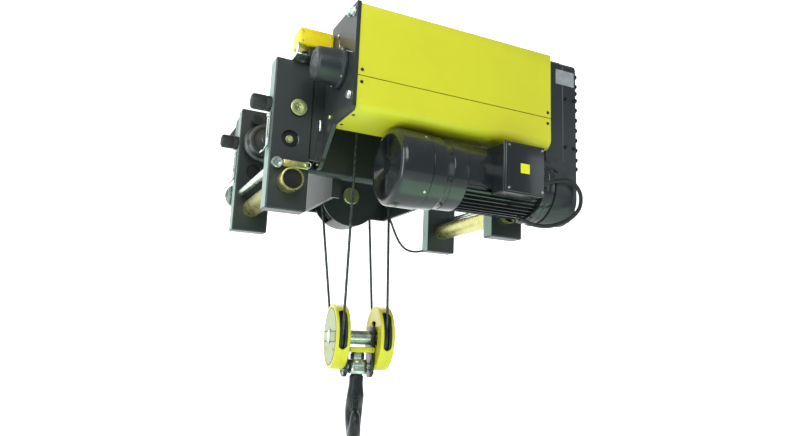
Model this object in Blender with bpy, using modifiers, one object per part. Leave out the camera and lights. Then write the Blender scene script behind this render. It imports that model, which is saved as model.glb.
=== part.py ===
"""Electric wire rope hoist on a low-headroom monorail trolley, as separate named pieces.

Metres, +Z up. +X runs along the rope drum towards the gearbox, and -Y is the side that
the drum hangs on. The origin is on the beam's centre line, on top of its lower flange,
where the trolley wheels stand.
"""
import math

import bmesh
import bpy
from mathutils import Matrix, Vector

# ---- trolley ----
HALF_LENGTH = 0.475
CHEEK_WIDTH = 0.130
NEAR_Y = -0.270
NEAR_BACK_Y = -0.210
FAR_Y = 0.211
FAR_BACK_Y = 0.266
CHEEK_LOW_Z = -0.270
NEAR_TOP_Z = 0.220
FAR_TOP_Z = 0.200
WEB = 0.012
SIDE = 0.008
WHEEL_X = 0.393
WHEEL_R = 0.0625
WHEEL_FLANGE_R = 0.072
AXLE_R = 0.0245
GUIDE_HOLE = (0.412, -0.042)
TUBE_X = 0.410
TUBE_Z = -0.183
TUBE_R = 0.033
ROD_X = 0.451
ROD_Z = -0.128
ROD_R = 0.0125
BUFFER_Z = 0.068
BUFFER_R = 0.025
BUFFER_END_X = 0.5375
PINION_R = 0.020
PINION_X = -0.420
PINION_Z = 0.1512

# ---- drum side ----
DRUM_Y = -0.402
DRUM_Z = 0.165
ROPE_R = 0.0045
DRUM_PITCH_R = 0.090
DRUM_X0 = -0.270
DRUM_X1 = 0.400
GUIDE_X = -0.205
BAR_Z = 0.293
PLATE_X0 = -0.305
PLATE_X1 = -0.2925
COVER_X0 = -0.292
COVER_X1 = 0.413
COVER_NEAR_Y = -0.514
COVER_FAR_Y = -0.3055
COVER_TOP_Z = 0.338
COVER_LOW_Z = 0.001
COVER_BEND_R = 0.033
COVER_LIP_Y = -0.318
SHEET = 0.0025
BOX_X0 = 0.4135
BOX_X1 = 0.485
LID_X1 = 0.550
BOX_NEAR_Y = -0.485
BOX_FAR_Y = -0.310
BOX_TOP_Z = 0.341
MOTOR_Y = -0.420
MOTOR_Z = -0.125
MOTOR_X0 = -0.147
MOTOR_R = 0.122

# ---- centre frame and rope ----
BEAM_NEAR_Y = -0.205
BEAM_BACK_Y = -0.165
BEAM_LOW_Z = -0.125
BEAM_TOP_Z = -0.016
BEAM_RAISED_X = 0.3175
BEAM_RAISED_Z = 0.050
FRAME_X0 = -0.228
FRAME_X1 = 0.105
FRAME_FAR_Y = 0.135
FRAME_LOW_Z = -0.185
FRAME_TOP_Z = -0.032
TOP_SHEAVE = (-0.090, 0.065, -0.130)
SHEAVE_PITCH_R = 0.095
SHEAVE_R = 0.103
ANCHOR = (0.012, -0.105, -0.150)

# ---- hook block ----
BLOCK = (-0.037, 0.0, -0.642)
BLOCK_TURN = math.radians(-8.0)
HOOK_TURN = math.radians(-19.0)
SHEAVE_OFFSET = 0.0785
GUARD_R = 0.113
GUARD_HALF = 0.025
CROSS_Z = -0.1015
CROSS_R = 0.0365
BOWL_Z = -0.272
BOWL_R = 0.0315

STEPS = 28

COLOURS = {
    "yellow": ((0.72, 0.68, 0.03), 0.0, 0.45),
    "golden": ((0.78, 0.62, 0.02), 0.0, 0.45),
    "dark": ((0.035, 0.042, 0.048), 0.1, 0.5),
    "black": ((0.012, 0.014, 0.016), 0.0, 0.5),
    "zinc": ((0.55, 0.58, 0.45), 1.0, 0.35),
    "passivated": ((0.62, 0.56, 0.22), 0.9, 0.4),
    "steel": ((0.42, 0.43, 0.44), 1.0, 0.4),
    "rubber": ((0.02, 0.02, 0.022), 0.0, 0.8),
    "rope": ((0.16, 0.17, 0.17), 0.8, 0.5),
}


def clear_scene():
    for thing in list(bpy.data.objects):
        bpy.data.objects.remove(thing, do_unlink=True)
    for group in list(bpy.data.collections):
        bpy.data.collections.remove(group)


def new_collection(name, hidden=False):
    group = bpy.data.collections.new(name)
    bpy.context.scene.collection.children.link(group)
    group.hide_render = hidden
    return group


clear_scene()
PARTS = new_collection("electric_wire_rope_hoist")
CUTTERS = new_collection("cutters", hidden=True)


def material(name, look):
    colour, metallic, rough = COLOURS[look]
    made = bpy.data.materials.new(name)
    made.use_nodes = True
    shader = made.node_tree.nodes["Principled BSDF"]
    shader.inputs["Base Color"].default_value = (*colour, 1.0)
    shader.inputs["Metallic"].default_value = metallic
    shader.inputs["Roughness"].default_value = rough
    return made


def show(thing, look, group=None):
    """Links an object and gives it its own material."""
    thing.data.materials.append(material(thing.name, look))
    (group or PARTS).objects.link(thing)
    return thing


# Each axis has the turn that stands a local Z along it, and the sign of that Z on it.
UPRIGHT = {
    "X": (Matrix(((0, 0, 1, 0), (1, 0, 0, 0), (0, 1, 0, 0), (0, 0, 0, 1))), 1),
    "Y": (Matrix(((1, 0, 0, 0), (0, 0, -1, 0), (0, 1, 0, 0), (0, 0, 0, 1))), -1),
    "Z": (Matrix.Identity(4), 1),
}


def stand(axis, across, along):
    """The frame of a piece on an axis: across it at a pair of places, and this far along it."""
    turn, sign = UPRIGHT[axis]
    spot = turn @ Vector((across[0], across[1], sign * along))
    return Matrix.Translation(spot) @ turn


def solid(name, shape, frame, look):
    """The object of a bmesh, placed by frame."""
    mesh = bpy.data.meshes.new(name)
    shape.to_mesh(mesh)
    shape.free()
    mesh.shade_smooth()
    mesh.set_sharp_from_angle(angle=math.radians(35))
    thing = bpy.data.objects.new(name, mesh)
    thing.matrix_basis = frame
    return show(thing, look)


def box(name, low, high, look="dark", origin=(0, 0, 0)):
    low, high, base = Vector(low), Vector(high), Vector(origin)
    shape = bmesh.new()
    size = Matrix.Diagonal((*(high - low), 1.0))
    bmesh.ops.create_cube(shape, size=1.0, matrix=Matrix.Translation((low + high) / 2 - base) @ size)
    return solid(name, shape, Matrix.Translation(base), look)


def cylinder(name, axis, centre, radius, low, high, steps=24, look="dark"):
    shape = bmesh.new()
    bmesh.ops.create_cone(
        shape, cap_ends=True, segments=steps, radius1=radius, radius2=radius, depth=high - low
    )
    return solid(name, shape, stand(axis, centre, (low + high) / 2), look)


def turned(name, profile, axis, centre, steps=STEPS, look="dark", base=0.0, closed=False):
    """A profile of (along, radius) points turned about the axis through centre.

    An open profile is closed on the axis, so it makes a solid bar. The origin is on the
    axis, base along it.
    """
    sign = UPRIGHT[axis][1]
    line = [(radius, sign * (along - base)) for along, radius in profile]
    if not closed:
        line = [(0.0, line[0][1])] + line + [(0.0, line[-1][1])]
    area = sum(a[0] * b[1] - b[0] * a[1] for a, b in zip(line, line[1:] + line[:1]))
    if area > 0:
        line.reverse()
    shape = bmesh.new()
    corners = [shape.verts.new((radius, 0.0, along)) for radius, along in line]
    for first, second in zip(corners, corners[1:]):
        shape.edges.new((first, second))
    if closed:
        shape.edges.new((corners[-1], corners[0]))
    thing = solid(name, shape, stand(axis, centre, base), look)
    turn = thing.modifiers.new("turn", "SCREW")
    turn.steps = steps
    turn.render_steps = steps
    turn.use_smooth_shade = True
    turn.use_merge_vertices = True
    turn.merge_threshold = 0.00001
    return thing


def meshed(curve, frame, look):
    """A curve object made into a closed mesh object in the same place."""
    name = curve.name
    maker = bpy.data.objects.new(name + "_line", curve)
    PARTS.objects.link(maker)
    seen = maker.evaluated_get(bpy.context.evaluated_depsgraph_get())
    mesh = bpy.data.meshes.new_from_object(seen)
    bpy.data.objects.remove(maker)
    shape = bmesh.new()
    shape.from_mesh(mesh)
    bmesh.ops.remove_doubles(shape, verts=shape.verts, dist=0.000001)
    bmesh.ops.dissolve_limit(shape, angle_limit=0.002, verts=shape.verts, edges=shape.edges)
    bmesh.ops.recalc_face_normals(shape, faces=shape.faces)
    bpy.data.meshes.remove(mesh)
    return solid(name, shape, frame, look)


def prism(name, outline, axis, low, high, look="dark"):
    """A flat outline drawn across the axis, as thick as from low to high."""
    curve = bpy.data.curves.new(name, "CURVE")
    curve.dimensions = "2D"
    curve.fill_mode = "BOTH"
    curve.extrude = (high - low) / 2
    line = curve.splines.new("POLY")
    line.points.add(len(outline) - 1)
    for point, (a, b) in zip(line.points, outline):
        point.co = (a, b, 0.0, 1.0)
    line.use_cyclic_u = True
    return meshed(curve, stand(axis, (0.0, 0.0), (low + high) / 2), look)


def pipe(name, path, radius, fine=3, look="rope"):
    """A round bar along a line of points, with flat ends."""
    curve = bpy.data.curves.new(name, "CURVE")
    curve.dimensions = "3D"
    curve.bevel_depth = radius
    curve.bevel_resolution = fine
    curve.use_fill_caps = True
    line = curve.splines.new("POLY")
    line.points.add(len(path) - 1)
    for point, spot in zip(line.points, path):
        point.co = (*spot, 1.0)
    return meshed(curve, Matrix.Identity(4), look)


def combine(target, tool, how):
    """A Boolean on target. The tool moves to the cutters."""
    for group in list(tool.users_collection):
        group.objects.unlink(tool)
    CUTTERS.objects.link(tool)
    tool.display_type = "WIRE"
    tool.hide_render = True
    change = target.modifiers.new(how.lower(), "BOOLEAN")
    change.operation = how
    change.solver = "EXACT"
    change.object = tool
    return target


def cut(target, *tools):
    for tool in tools:
        combine(target, tool, "DIFFERENCE")
    return target


def weld(target, *tools):
    for tool in tools:
        combine(target, tool, "UNION")
    return target


def soften(thing, width, segments=1):
    change = thing.modifiers.new("edges", "BEVEL")
    change.width = width
    change.segments = segments
    change.limit_method = "ANGLE"
    change.angle_limit = math.radians(40)
    return thing


def arc(centre, radius, start, end, steps):
    """Points on an arc, from start to end in degrees."""
    line = []
    for k in range(steps + 1):
        angle = math.radians(start + (end - start) * k / steps)
        line.append((centre[0] + radius * math.cos(angle), centre[1] + radius * math.sin(angle)))
    return line


def rounded(low, high, radius, steps=4):
    """A rectangle with rounded corners."""
    x0, y0, x1, y1 = low[0] + radius, low[1] + radius, high[0] - radius, high[1] - radius
    line = arc((x1, y1), radius, 0, 90, steps) + arc((x0, y1), radius, 90, 180, steps)
    return line + arc((x0, y0), radius, 180, 270, steps) + arc((x1, y0), radius, 270, 360, steps)


# ---------------------------------------------------------------- trolley


def cheek(name, side, low_y, high_y, top_z):
    """A cheek plate: a flat web with a folded flange down each side and at the bottom."""
    x0 = side * HALF_LENGTH - (CHEEK_WIDTH if side > 0 else 0)
    x1 = x0 + CHEEK_WIDTH
    plate = soften(box(name, (x0, low_y, CHEEK_LOW_Z), (x1, high_y, top_z)), 0.004)
    hollow_low = (x0 + SIDE, low_y + WEB, CHEEK_LOW_Z + 0.010)
    cut(plate, box("inside", hollow_low, (x1 - SIDE, high_y + 0.02, top_z + 0.02)))
    holes = [
        (side * WHEEL_X, WHEEL_R, AXLE_R + 0.0007),
        (side * GUIDE_HOLE[0], GUIDE_HOLE[1], 0.0285),
        (side * TUBE_X, TUBE_Z, TUBE_R + 0.0004),
        (side * ROD_X, ROD_Z, ROD_R + 0.0004),
    ]
    for x, z, radius in holes:
        cut(plate, cylinder("hole", "Y", (x, z), radius, low_y - 0.02, high_y + 0.02))
    return plate


cheek("near_left_cheek", -1, NEAR_Y, NEAR_BACK_Y, NEAR_TOP_Z)
cheek("near_right_cheek", 1, NEAR_Y, NEAR_BACK_Y, NEAR_TOP_Z)
far_left_cheek = cheek("far_left_cheek", -1, FAR_Y, FAR_BACK_Y, FAR_TOP_Z)
cheek("far_right_cheek", 1, FAR_Y, FAR_BACK_Y, FAR_TOP_Z)
cut(
    far_left_cheek,
    cylinder("shaft_hole", "Y", (PINION_X, PINION_Z), 0.0108, FAR_Y - 0.02, FAR_Y + 0.03, 24),
)


def cross_tube(name, side, near_y):
    tube = [(near_y, TUBE_R), (0.282, TUBE_R), (0.282, 0.026), (near_y, 0.026)]
    return turned(name, tube, "Y", (side * TUBE_X, TUBE_Z), look="passivated", closed=True)


cross_tube("left_cross_tube", -1, -0.325)
cross_tube("right_cross_tube", 1, -0.286)


def tie_rod(name, side, far_r):
    line = [
        (-0.2900, 0.014),
        (-0.2885, 0.0175),
        (-0.2706, 0.0175),
        (-0.2704, ROD_R),
        (0.2865, ROD_R),
        (0.2867, far_r),
        (0.2960, far_r),
    ]
    return turned(name, line, "Y", (side * ROD_X, ROD_Z), 28, look="zinc")


tie_rod("left_tie_rod", -1, 0.045)
tie_rod("right_tie_rod", 1, 0.024)

locking_bar = box("locking_bar", (-0.4325, -0.2830, -0.1375), (-0.3500, -0.2704, -0.1130), "passivated")
soften(locking_bar, 0.003)


def wheel(name, side, far):
    """A flanged trolley wheel with its axle stub."""
    line = [
        (0.1230, WHEEL_R - 0.002),
        (0.1250, WHEEL_R),
        (0.1650, WHEEL_R),
        (0.1700, WHEEL_FLANGE_R),
        (0.1810, WHEEL_FLANGE_R),
        (0.1810, 0.032),
        (0.2070, 0.028),
    ]
    if far:
        line += [(0.2070, AXLE_R), (0.2440, AXLE_R)]
    else:
        line += [(0.2570, 0.028), (0.2570, AXLE_R)]
        line += [(0.2770, AXLE_R), (0.2790, AXLE_R - 0.002)]
        line = [(-along, radius) for along, radius in line]
    return turned(name, line, "Y", (side * WHEEL_X, WHEEL_R), 30, look="steel")


wheel("near_left_wheel", -1, False)
wheel("near_right_wheel", 1, False)
wheel("far_left_wheel", -1, True)
wheel("far_right_wheel", 1, True)

pinion_line = [
    (0.1700, PINION_R - 0.001),
    (0.1710, PINION_R),
    (0.1890, PINION_R),
    (0.1900, 0.010),
    (0.3290, 0.010),
]
turned("travel_pinion", pinion_line, "Y", (PINION_X, PINION_Z), look="steel")
travel_gearbox = soften(
    prism("travel_gearbox", rounded((-0.472, 0.075), (-0.368, 0.205), 0.03), "Y", 0.2668, 0.3310),
    0.004,
)
cut(travel_gearbox, cylinder("bore", "Y", (PINION_X, PINION_Z), 0.0106, 0.2500, 0.3300, 24))
turned(
    "travel_motor",
    [(0.3313, 0.046), (0.3400, 0.050), (0.4700, 0.050), (0.4860, 0.046), (0.4900, 0.036)],
    "Y",
    (PINION_X, PINION_Z),
    32,
    look="black",
)


def bumper(name, side, y):
    line = [
        (HALF_LENGTH + 0.0004, BUFFER_R * 0.8),
        (HALF_LENGTH + 0.0080, BUFFER_R),
        (BUFFER_END_X - 0.006, BUFFER_R),
        (BUFFER_END_X, BUFFER_R - 0.006),
    ]
    line = [(side * along, radius) for along, radius in line]
    return turned(name, line, "X", (y, BUFFER_Z), 28, look="rubber")


bumper("near_left_buffer", -1, -0.240)
bumper("near_right_buffer", 1, -0.240)
bumper("far_left_buffer", -1, 0.240)
bumper("far_right_buffer", 1, 0.240)

# ---------------------------------------------------------------- frame under the beam

near_frame_beam = prism(
    "near_frame_beam",
    rounded((BEAM_NEAR_Y, BEAM_LOW_Z), (BEAM_BACK_Y, BEAM_TOP_Z), 0.015, 5),
    "X",
    -HALF_LENGTH + CHEEK_WIDTH + 0.0004,
    HALF_LENGTH - CHEEK_WIDTH - 0.0004,
)
raised_line = rounded((BEAM_NEAR_Y, BEAM_LOW_Z), (BEAM_BACK_Y, BEAM_RAISED_Z), 0.015, 5)
weld(near_frame_beam, prism("raised_middle", raised_line, "X", -BEAM_RAISED_X, BEAM_RAISED_X))
cut(
    near_frame_beam,
    prism(
        "hollow",
        rounded((BEAM_NEAR_Y + 0.005, BEAM_LOW_Z + 0.005), (BEAM_BACK_Y - 0.005, BEAM_TOP_Z - 0.005), 0.010),
        "X",
        -0.40,
        0.40,
    ),
)

frame_low = (FRAME_X0, BEAM_BACK_Y + 0.0004, FRAME_LOW_Z)
centre_frame = box("centre_frame", frame_low, (FRAME_X1, FRAME_FAR_Y, FRAME_TOP_Z))
frame_inside = (FRAME_X1 - WEB, FRAME_FAR_Y - WEB, 0.02)
cut(centre_frame, box("inside", (FRAME_X0 + WEB, BEAM_BACK_Y + 0.013, -0.25), frame_inside))
cut(centre_frame, box("window", (FRAME_X0 + 0.03, -0.20, -0.25), (FRAME_X1 - 0.03, -0.140, -0.120)))
weld(centre_frame, box("lug", (-0.002, -0.156, -0.105), (0.026, -0.088, -0.045)))
cut(centre_frame, cylinder("pin_hole", "Y", (TOP_SHEAVE[0], TOP_SHEAVE[2]), 0.0165, 0.10, 0.15))

top = (TOP_SHEAVE[0], TOP_SHEAVE[2])
guard_line = arc(top, 0.112, 180, 360, 20)
guard_line += [(top[0] + 0.112, top[1] + 0.058), (top[0] - 0.112, top[1] + 0.058)]
GUARD_Y0 = TOP_SHEAVE[1] - 0.050
GUARD_Y1 = TOP_SHEAVE[1] + 0.050
top_sheave_guard = prism("top_sheave_guard", guard_line, "Y", GUARD_Y0, GUARD_Y1)
between = (GUARD_Y0 + 0.008, GUARD_Y1 - 0.008)
left_of, right_of = top[0] - 0.15, top[0] + 0.15
cut(
    top_sheave_guard,
    cylinder("room", "Y", top, 0.1065, *between, 32),
    box("left_side", (left_of, between[0], -0.35), (top[0] - 0.058, between[1], 0.05)),
    box("right_side", (top[0] + 0.066, between[0], -0.35), (right_of, between[1], 0.05)),
    box("above", (left_of, between[0], top[1]), (right_of, between[1], 0.05)),
    cylinder("pin_hole", "Y", top, 0.0165, -0.05, 0.16),
)


def sheave(name, axis, centre, middle, bore=0.0165, hub=0.034):
    """A rope sheave: hub, web and grooved rim."""
    groove = SHEAVE_PITCH_R - ROPE_R - 0.0016
    line = [
        (-0.0150, bore),
        (-0.0150, hub),
        (-0.0060, hub + 0.004),
        (-0.0060, SHEAVE_R - 0.020),
        (-0.0150, SHEAVE_R - 0.016),
        (-0.0140, SHEAVE_R),
        (-0.0042, groove + 0.0010),
        (0.0042, groove + 0.0010),
        (0.0140, SHEAVE_R),
        (0.0150, SHEAVE_R - 0.016),
        (0.0060, SHEAVE_R - 0.020),
        (0.0060, hub + 0.004),
        (0.0150, hub),
        (0.0150, bore),
    ]
    line = [(middle + along, radius) for along, radius in line]
    return turned(name, line, axis, centre, look="steel", closed=True)


sheave("top_sheave", "Y", top, TOP_SHEAVE[1])
pin_line = [
    (GUARD_Y0 - 0.0100, 0.029),
    (GUARD_Y0 - 0.0085, 0.031),
    (GUARD_Y0 - 0.0006, 0.031),
    (GUARD_Y0 - 0.0004, 0.0160),
    (FRAME_FAR_Y + 0.0080, 0.0160),
]
turned("top_sheave_pin", pin_line, "Y", top, 28, look="passivated")
turned(
    "rope_anchor",
    [(-0.1650, 0.0090), (-0.1500, 0.0130), (-0.1300, 0.0130), (-0.1056, 0.0110)],
    "Z",
    ANCHOR[:2],
    20,
    look="zinc",
)

# ---------------------------------------------------------------- drum and its cover

drum_line = [
    (-0.3650, 0.024),
    (DRUM_X0, 0.024),
    (DRUM_X0, 0.0960),
    (DRUM_X0 + 0.008, 0.0960),
    (DRUM_X0 + 0.008, DRUM_PITCH_R - ROPE_R - 0.0006),
    (GUIDE_X + 0.014, DRUM_PITCH_R - ROPE_R - 0.0006),
    (GUIDE_X + 0.014, DRUM_PITCH_R + ROPE_R),
    (DRUM_X1 - 0.012, DRUM_PITCH_R + ROPE_R),
    (DRUM_X1 - 0.012, 0.0960),
    (DRUM_X1, 0.0960),
    (DRUM_X1, 0.030),
    (0.4650, 0.030),
]
turned("rope_drum", drum_line, "X", (DRUM_Y, DRUM_Z), 36, look="steel")

plate_line = [
    (-0.5150, 0.0100),
    (-0.5150, 0.3410),
    (-0.3000, 0.3410),
    (-0.3000, 0.2150),
    (-0.2580, 0.2150),
    (-0.2580, 0.0600),
    (BEAM_NEAR_Y - 0.0004, 0.0100),
    (BEAM_NEAR_Y - 0.0004, -0.1150),
    (-0.2400, -0.1150),
    (-0.3600, 0.0),
    (-0.5050, 0.0),
]
drum_end_plate = prism("drum_end_plate", plate_line, "X", PLATE_X0, PLATE_X1)
flange_x0 = -HALF_LENGTH + CHEEK_WIDTH + 0.0004
weld(drum_end_plate, box("cheek_flange", (flange_x0, -0.2680, -0.1000), (-0.2940, -0.2580, 0.2150)))
cut(drum_end_plate, cylinder("bore", "X", (DRUM_Y, DRUM_Z), 0.0246, -0.33, -0.27))

bearing_outside = [
    (-0.3930, 0.044),
    (-0.3870, 0.052),
    (-0.3200, 0.057),
    (-0.3160, 0.066),
    (PLATE_X0 - 0.0004, 0.066),
]
drum_bearing_housing = turned("drum_bearing_housing", bearing_outside, "X", (DRUM_Y, DRUM_Z), 40)
cut(drum_bearing_housing, cylinder("bore", "X", (DRUM_Y, DRUM_Z), 0.0247, -0.3670, -0.29))

ring = arc((DRUM_Y, DRUM_Z), 0.1050, 24, 312, 30) + arc((DRUM_Y, DRUM_Z), 0.0966, 312, 24, 30)
rope_guide = prism("rope_guide", ring, "X", GUIDE_X - 0.020, GUIDE_X + 0.018, look="black")
lug_low = (GUIDE_X - 0.014, DRUM_Y - 0.016, DRUM_Z + 0.100)
weld(rope_guide, box("lug", lug_low, (GUIDE_X + 0.012, DRUM_Y + 0.016, DRUM_Z + 0.142)))
cut(rope_guide, cylinder("bar_hole", "X", (DRUM_Y, BAR_Z), 0.0085, -0.25, -0.15, 20))
cylinder("guide_bar", "X", (DRUM_Y, BAR_Z), 0.0080, PLATE_X1 + 0.0004, BOX_X0 - 0.0004, 20, look="zinc")

bend = (COVER_NEAR_Y + COVER_BEND_R, COVER_LOW_Z + COVER_BEND_R)
outer = [
    (COVER_FAR_Y, COVER_TOP_Z),
    (COVER_NEAR_Y + 0.004, COVER_TOP_Z),
    (COVER_NEAR_Y, COVER_TOP_Z - 0.004),
]
outer += arc(bend, COVER_BEND_R, 180, 270, 8)
outer += [(COVER_LIP_Y, COVER_LOW_Z)]
inner = [(COVER_LIP_Y, COVER_LOW_Z + SHEET)]
inner += arc(bend, COVER_BEND_R - SHEET, 270, 180, 8)
inner += [
    (COVER_NEAR_Y + SHEET, COVER_TOP_Z - 0.005),
    (COVER_NEAR_Y + 0.005, COVER_TOP_Z - SHEET),
    (COVER_FAR_Y, COVER_TOP_Z - SHEET),
]
prism("drum_cover", outer + inner, "X", COVER_X0, COVER_X1, look="yellow")

switch_x1 = PLATE_X0 - 0.0005
soften(box("limit_switch_box", (-0.419, -0.320, 0.2570), (switch_x1, -0.245, 0.3150), "golden"), 0.005, 3)
soften(box("limit_switch_base", (-0.385, -0.315, 0.2212), (switch_x1, -0.250, 0.2566), "black"), 0.003)

# ---------------------------------------------------------------- gearbox and hoist motor

bowl = arc((MOTOR_Y, MOTOR_Z), MOTOR_R, 180, 350, 24)
housing_line = bowl + [(BOX_FAR_Y, -0.100), (BOX_FAR_Y, BOX_TOP_Z - 0.012), (BOX_FAR_Y - 0.012, BOX_TOP_Z)]
housing_line += [(BOX_NEAR_Y + 0.012, BOX_TOP_Z), (BOX_NEAR_Y, BOX_TOP_Z - 0.012), (BOX_NEAR_Y, -0.020)]
gearbox_housing = prism("gearbox_housing", housing_line, "X", BOX_X0, BOX_X1)
cut(gearbox_housing, cylinder("drum_bore", "X", (DRUM_Y, DRUM_Z), 0.0307, 0.40, 0.4700))

lid_low = arc((-0.3975, -0.1460), 0.0875, 180, 360, 18)
lid_line = lid_low + [(BOX_FAR_Y, BOX_TOP_Z - 0.012), (BOX_FAR_Y - 0.012, BOX_TOP_Z)]
lid_line += [(BOX_NEAR_Y + 0.012, BOX_TOP_Z), (BOX_NEAR_Y, BOX_TOP_Z - 0.012)]
soften(prism("gearbox_cover", lid_line, "X", BOX_X1 + 0.0004, LID_X1), 0.005)
soften(box("gearbox_foot", (0.4180, BOX_FAR_Y + 0.0004, -0.090), (0.4720, NEAR_Y - 0.0004, 0.110)), 0.003)


def finned(radius, tip, count):
    """The outline of a motor body with cooling fins all round."""
    line = []
    for k in range(count):
        middle = 360.0 * (k + 0.5) / count
        for turn, reach in ((-0.28, radius), (-0.20, tip), (0.20, tip), (0.28, radius)):
            angle = math.radians(middle + turn * 360.0 / count)
            line.append((MOTOR_Y + reach * math.cos(angle), MOTOR_Z + reach * math.sin(angle)))
    return line


motor_housing = turned(
    "motor_housing",
    [
        (-0.0430, 0.119),
        (0.0080, 0.119),
        (0.0140, 0.114),
        (0.0860, 0.112),
        (0.0900, 0.096),
        (0.3660, 0.096),
        (0.3700, 0.118),
        (BOX_X0 - 0.0004, 0.118),
    ],
    "X",
    (MOTOR_Y, MOTOR_Z),
    36,
    look="black",
)
weld(motor_housing, prism("fins", finned(0.094, 0.1085, 24), "X", 0.0880, 0.3680))
cut(motor_housing, cylinder("bore", "X", (MOTOR_Y, MOTOR_Z), 0.0197, -0.10, 0.45, 28))

cup = [(MOTOR_X0, 0.100), (MOTOR_X0 + 0.004, 0.114), (MOTOR_X0 + 0.016, MOTOR_R), (-0.0434, MOTOR_R)]
motor_fan_cover = turned("motor_fan_cover", cup, "X", (MOTOR_Y, MOTOR_Z), 36, look="black")
cut(motor_fan_cover, cylinder("hollow", "X", (MOTOR_Y, MOTOR_Z), MOTOR_R - 0.004, MOTOR_X0 + 0.014, 0.0, 36))
for ring_r in (0.045, 0.075):
    for start in (8, 98, 188, 278):
        outline = arc((MOTOR_Y, MOTOR_Z), ring_r + 0.008, start, start + 74, 5)
        outline += arc((MOTOR_Y, MOTOR_Z), ring_r - 0.008, start + 74, start, 5)
        cut(motor_fan_cover, prism("slot", outline, "X", MOTOR_X0 - 0.02, MOTOR_X0 + 0.03))

motor_rotor = turned(
    "motor_rotor",
    [
        (-0.1250, 0.0190),
        (-0.1230, 0.0300),
        (-0.0950, 0.0300),
        (-0.0930, 0.0960),
        (-0.0880, 0.0960),
        (-0.0860, 0.0190),
        (0.4100, 0.0190),
    ],
    "X",
    (MOTOR_Y, MOTOR_Z),
    32,
    look="steel",
)
for k in range(7):
    angle = 2 * math.pi * k / 7
    blade = box("blade", (-0.1210, -0.0015, 0.026), (-0.0900, 0.0015, 0.094))
    blade.matrix_basis = Matrix.Translation((0, MOTOR_Y, MOTOR_Z)) @ Matrix.Rotation(angle, 4, "X")
    weld(motor_rotor, blade)

terminal_box = box("terminal_box", (0.178, -0.578, -0.190), (0.328, -0.480, -0.030), "black")
soften(terminal_box, 0.004)
cut(terminal_box, cylinder("seat", "X", (MOTOR_Y, MOTOR_Z), 0.1092, 0.10, 0.40, 48))
soften(box("terminal_box_lid", (0.176, -0.5885, -0.192), (0.330, -0.5784, -0.028), look="black"), 0.003)

# ---------------------------------------------------------------- hook block

BLOCK_FRAME = Matrix.Translation(BLOCK) @ Matrix.Rotation(BLOCK_TURN, 4, "Z")
HOOK_FRAME = Matrix.Translation(BLOCK) @ Matrix.Rotation(HOOK_TURN, 4, "Z")


def place(thing, frame):
    """Moves a piece that was drawn at the block's centre, and its cutters, to the block."""
    for piece in [thing] + [m.object for m in thing.modifiers if m.type == "BOOLEAN"]:
        piece.matrix_basis = frame @ piece.matrix_basis
    return thing


def guard(name, side):
    """A round guard over one sheave, open where the rope goes in and out."""
    middle = side * SHEAVE_OFFSET
    low, high = middle - GUARD_HALF, middle + GUARD_HALF
    line = [(low, 0.107), (low + 0.006, GUARD_R), (high - 0.006, GUARD_R), (high, 0.107)]
    shell = turned(name, line, "X", (0, 0), 36, look="yellow")
    cut(shell, cylinder("room", "X", (0, 0), 0.1068, middle - 0.018, middle + 0.018, 36))
    for way in (-1, 1):
        edge = sorted((way * 0.064, way * 0.15))
        cut(shell, box("rope_slot", (middle - 0.0165, edge[0], -0.048), (middle + 0.0165, edge[1], 0.090)))
    cut(shell, cylinder("axle_hole", "X", (0, 0), 0.0240, low - 0.02, high + 0.02, 28))
    inner = sorted((middle - side * 0.030, middle - side * 0.017))
    cut(shell, box("relief", (inner[0], -0.062, -0.085), (inner[1], 0.062, 0.055)))
    return place(shell, BLOCK_FRAME)


guard("left_sheave_guard", -1)
guard("right_sheave_guard", 1)
for word, side in (("left", -1), ("right", 1)):
    made = sheave("%s_block_sheave" % word, "X", (0, 0), side * SHEAVE_OFFSET, bore=0.0242, hub=0.038)
    place(made, BLOCK_FRAME)

half_axle = [(0.0398, 0.0262), (0.0400, 0.0235), (0.1070, 0.0235), (0.1090, 0.020)]
axle_line = [(-along, radius) for along, radius in reversed(half_axle)] + half_axle
place(turned("block_axle", axle_line, "X", (0, 0), 32, look="zinc"), BLOCK_FRAME)

block_frame = box("block_frame", (-0.0530, -0.040, -0.138), (-0.0410, 0.040, 0.040))
weld(block_frame, box("other_plate", (0.0410, -0.040, -0.138), (0.0530, 0.040, 0.040)))
weld(block_frame, box("near_strap", (-0.0500, -0.0480, -0.052), (0.0500, -0.0390, -0.034)))
weld(block_frame, box("far_strap", (-0.0500, 0.0390, -0.052), (0.0500, 0.0480, -0.034)))
cut(block_frame, cylinder("axle_hole", "X", (0, 0), 0.0240, -0.10, 0.10, 28))
cut(block_frame, cylinder("trunnion_hole", "X", (0, CROSS_Z), 0.0146, -0.10, 0.10, 28))
place(block_frame, BLOCK_FRAME)

barrel = [
    (CROSS_Z - 0.0245, 0.0330),
    (CROSS_Z - 0.0160, CROSS_R),
    (CROSS_Z + 0.0160, CROSS_R),
    (CROSS_Z + 0.0245, 0.0330),
]
crosshead = turned("crosshead", barrel, "Z", (0, 0), look="zinc", base=CROSS_Z)
weld(crosshead, cylinder("trunnions", "X", (0, CROSS_Z), 0.0140, -0.0525, 0.0525, 28))
cut(crosshead, cylinder("shank_hole", "Z", (0, 0), 0.0215, -0.2, 0.0, 28))
place(crosshead, BLOCK_FRAME)

nut_low, nut_high = CROSS_Z + 0.0250, CROSS_Z + 0.0500
nut = [(nut_low, 0.0214), (nut_low, 0.0250), (nut_high, 0.0250), (nut_high, 0.0214)]
place(turned("hook_nut", nut, "Z", (0, 0), 24, look="zinc", closed=True), HOOK_FRAME)


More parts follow.
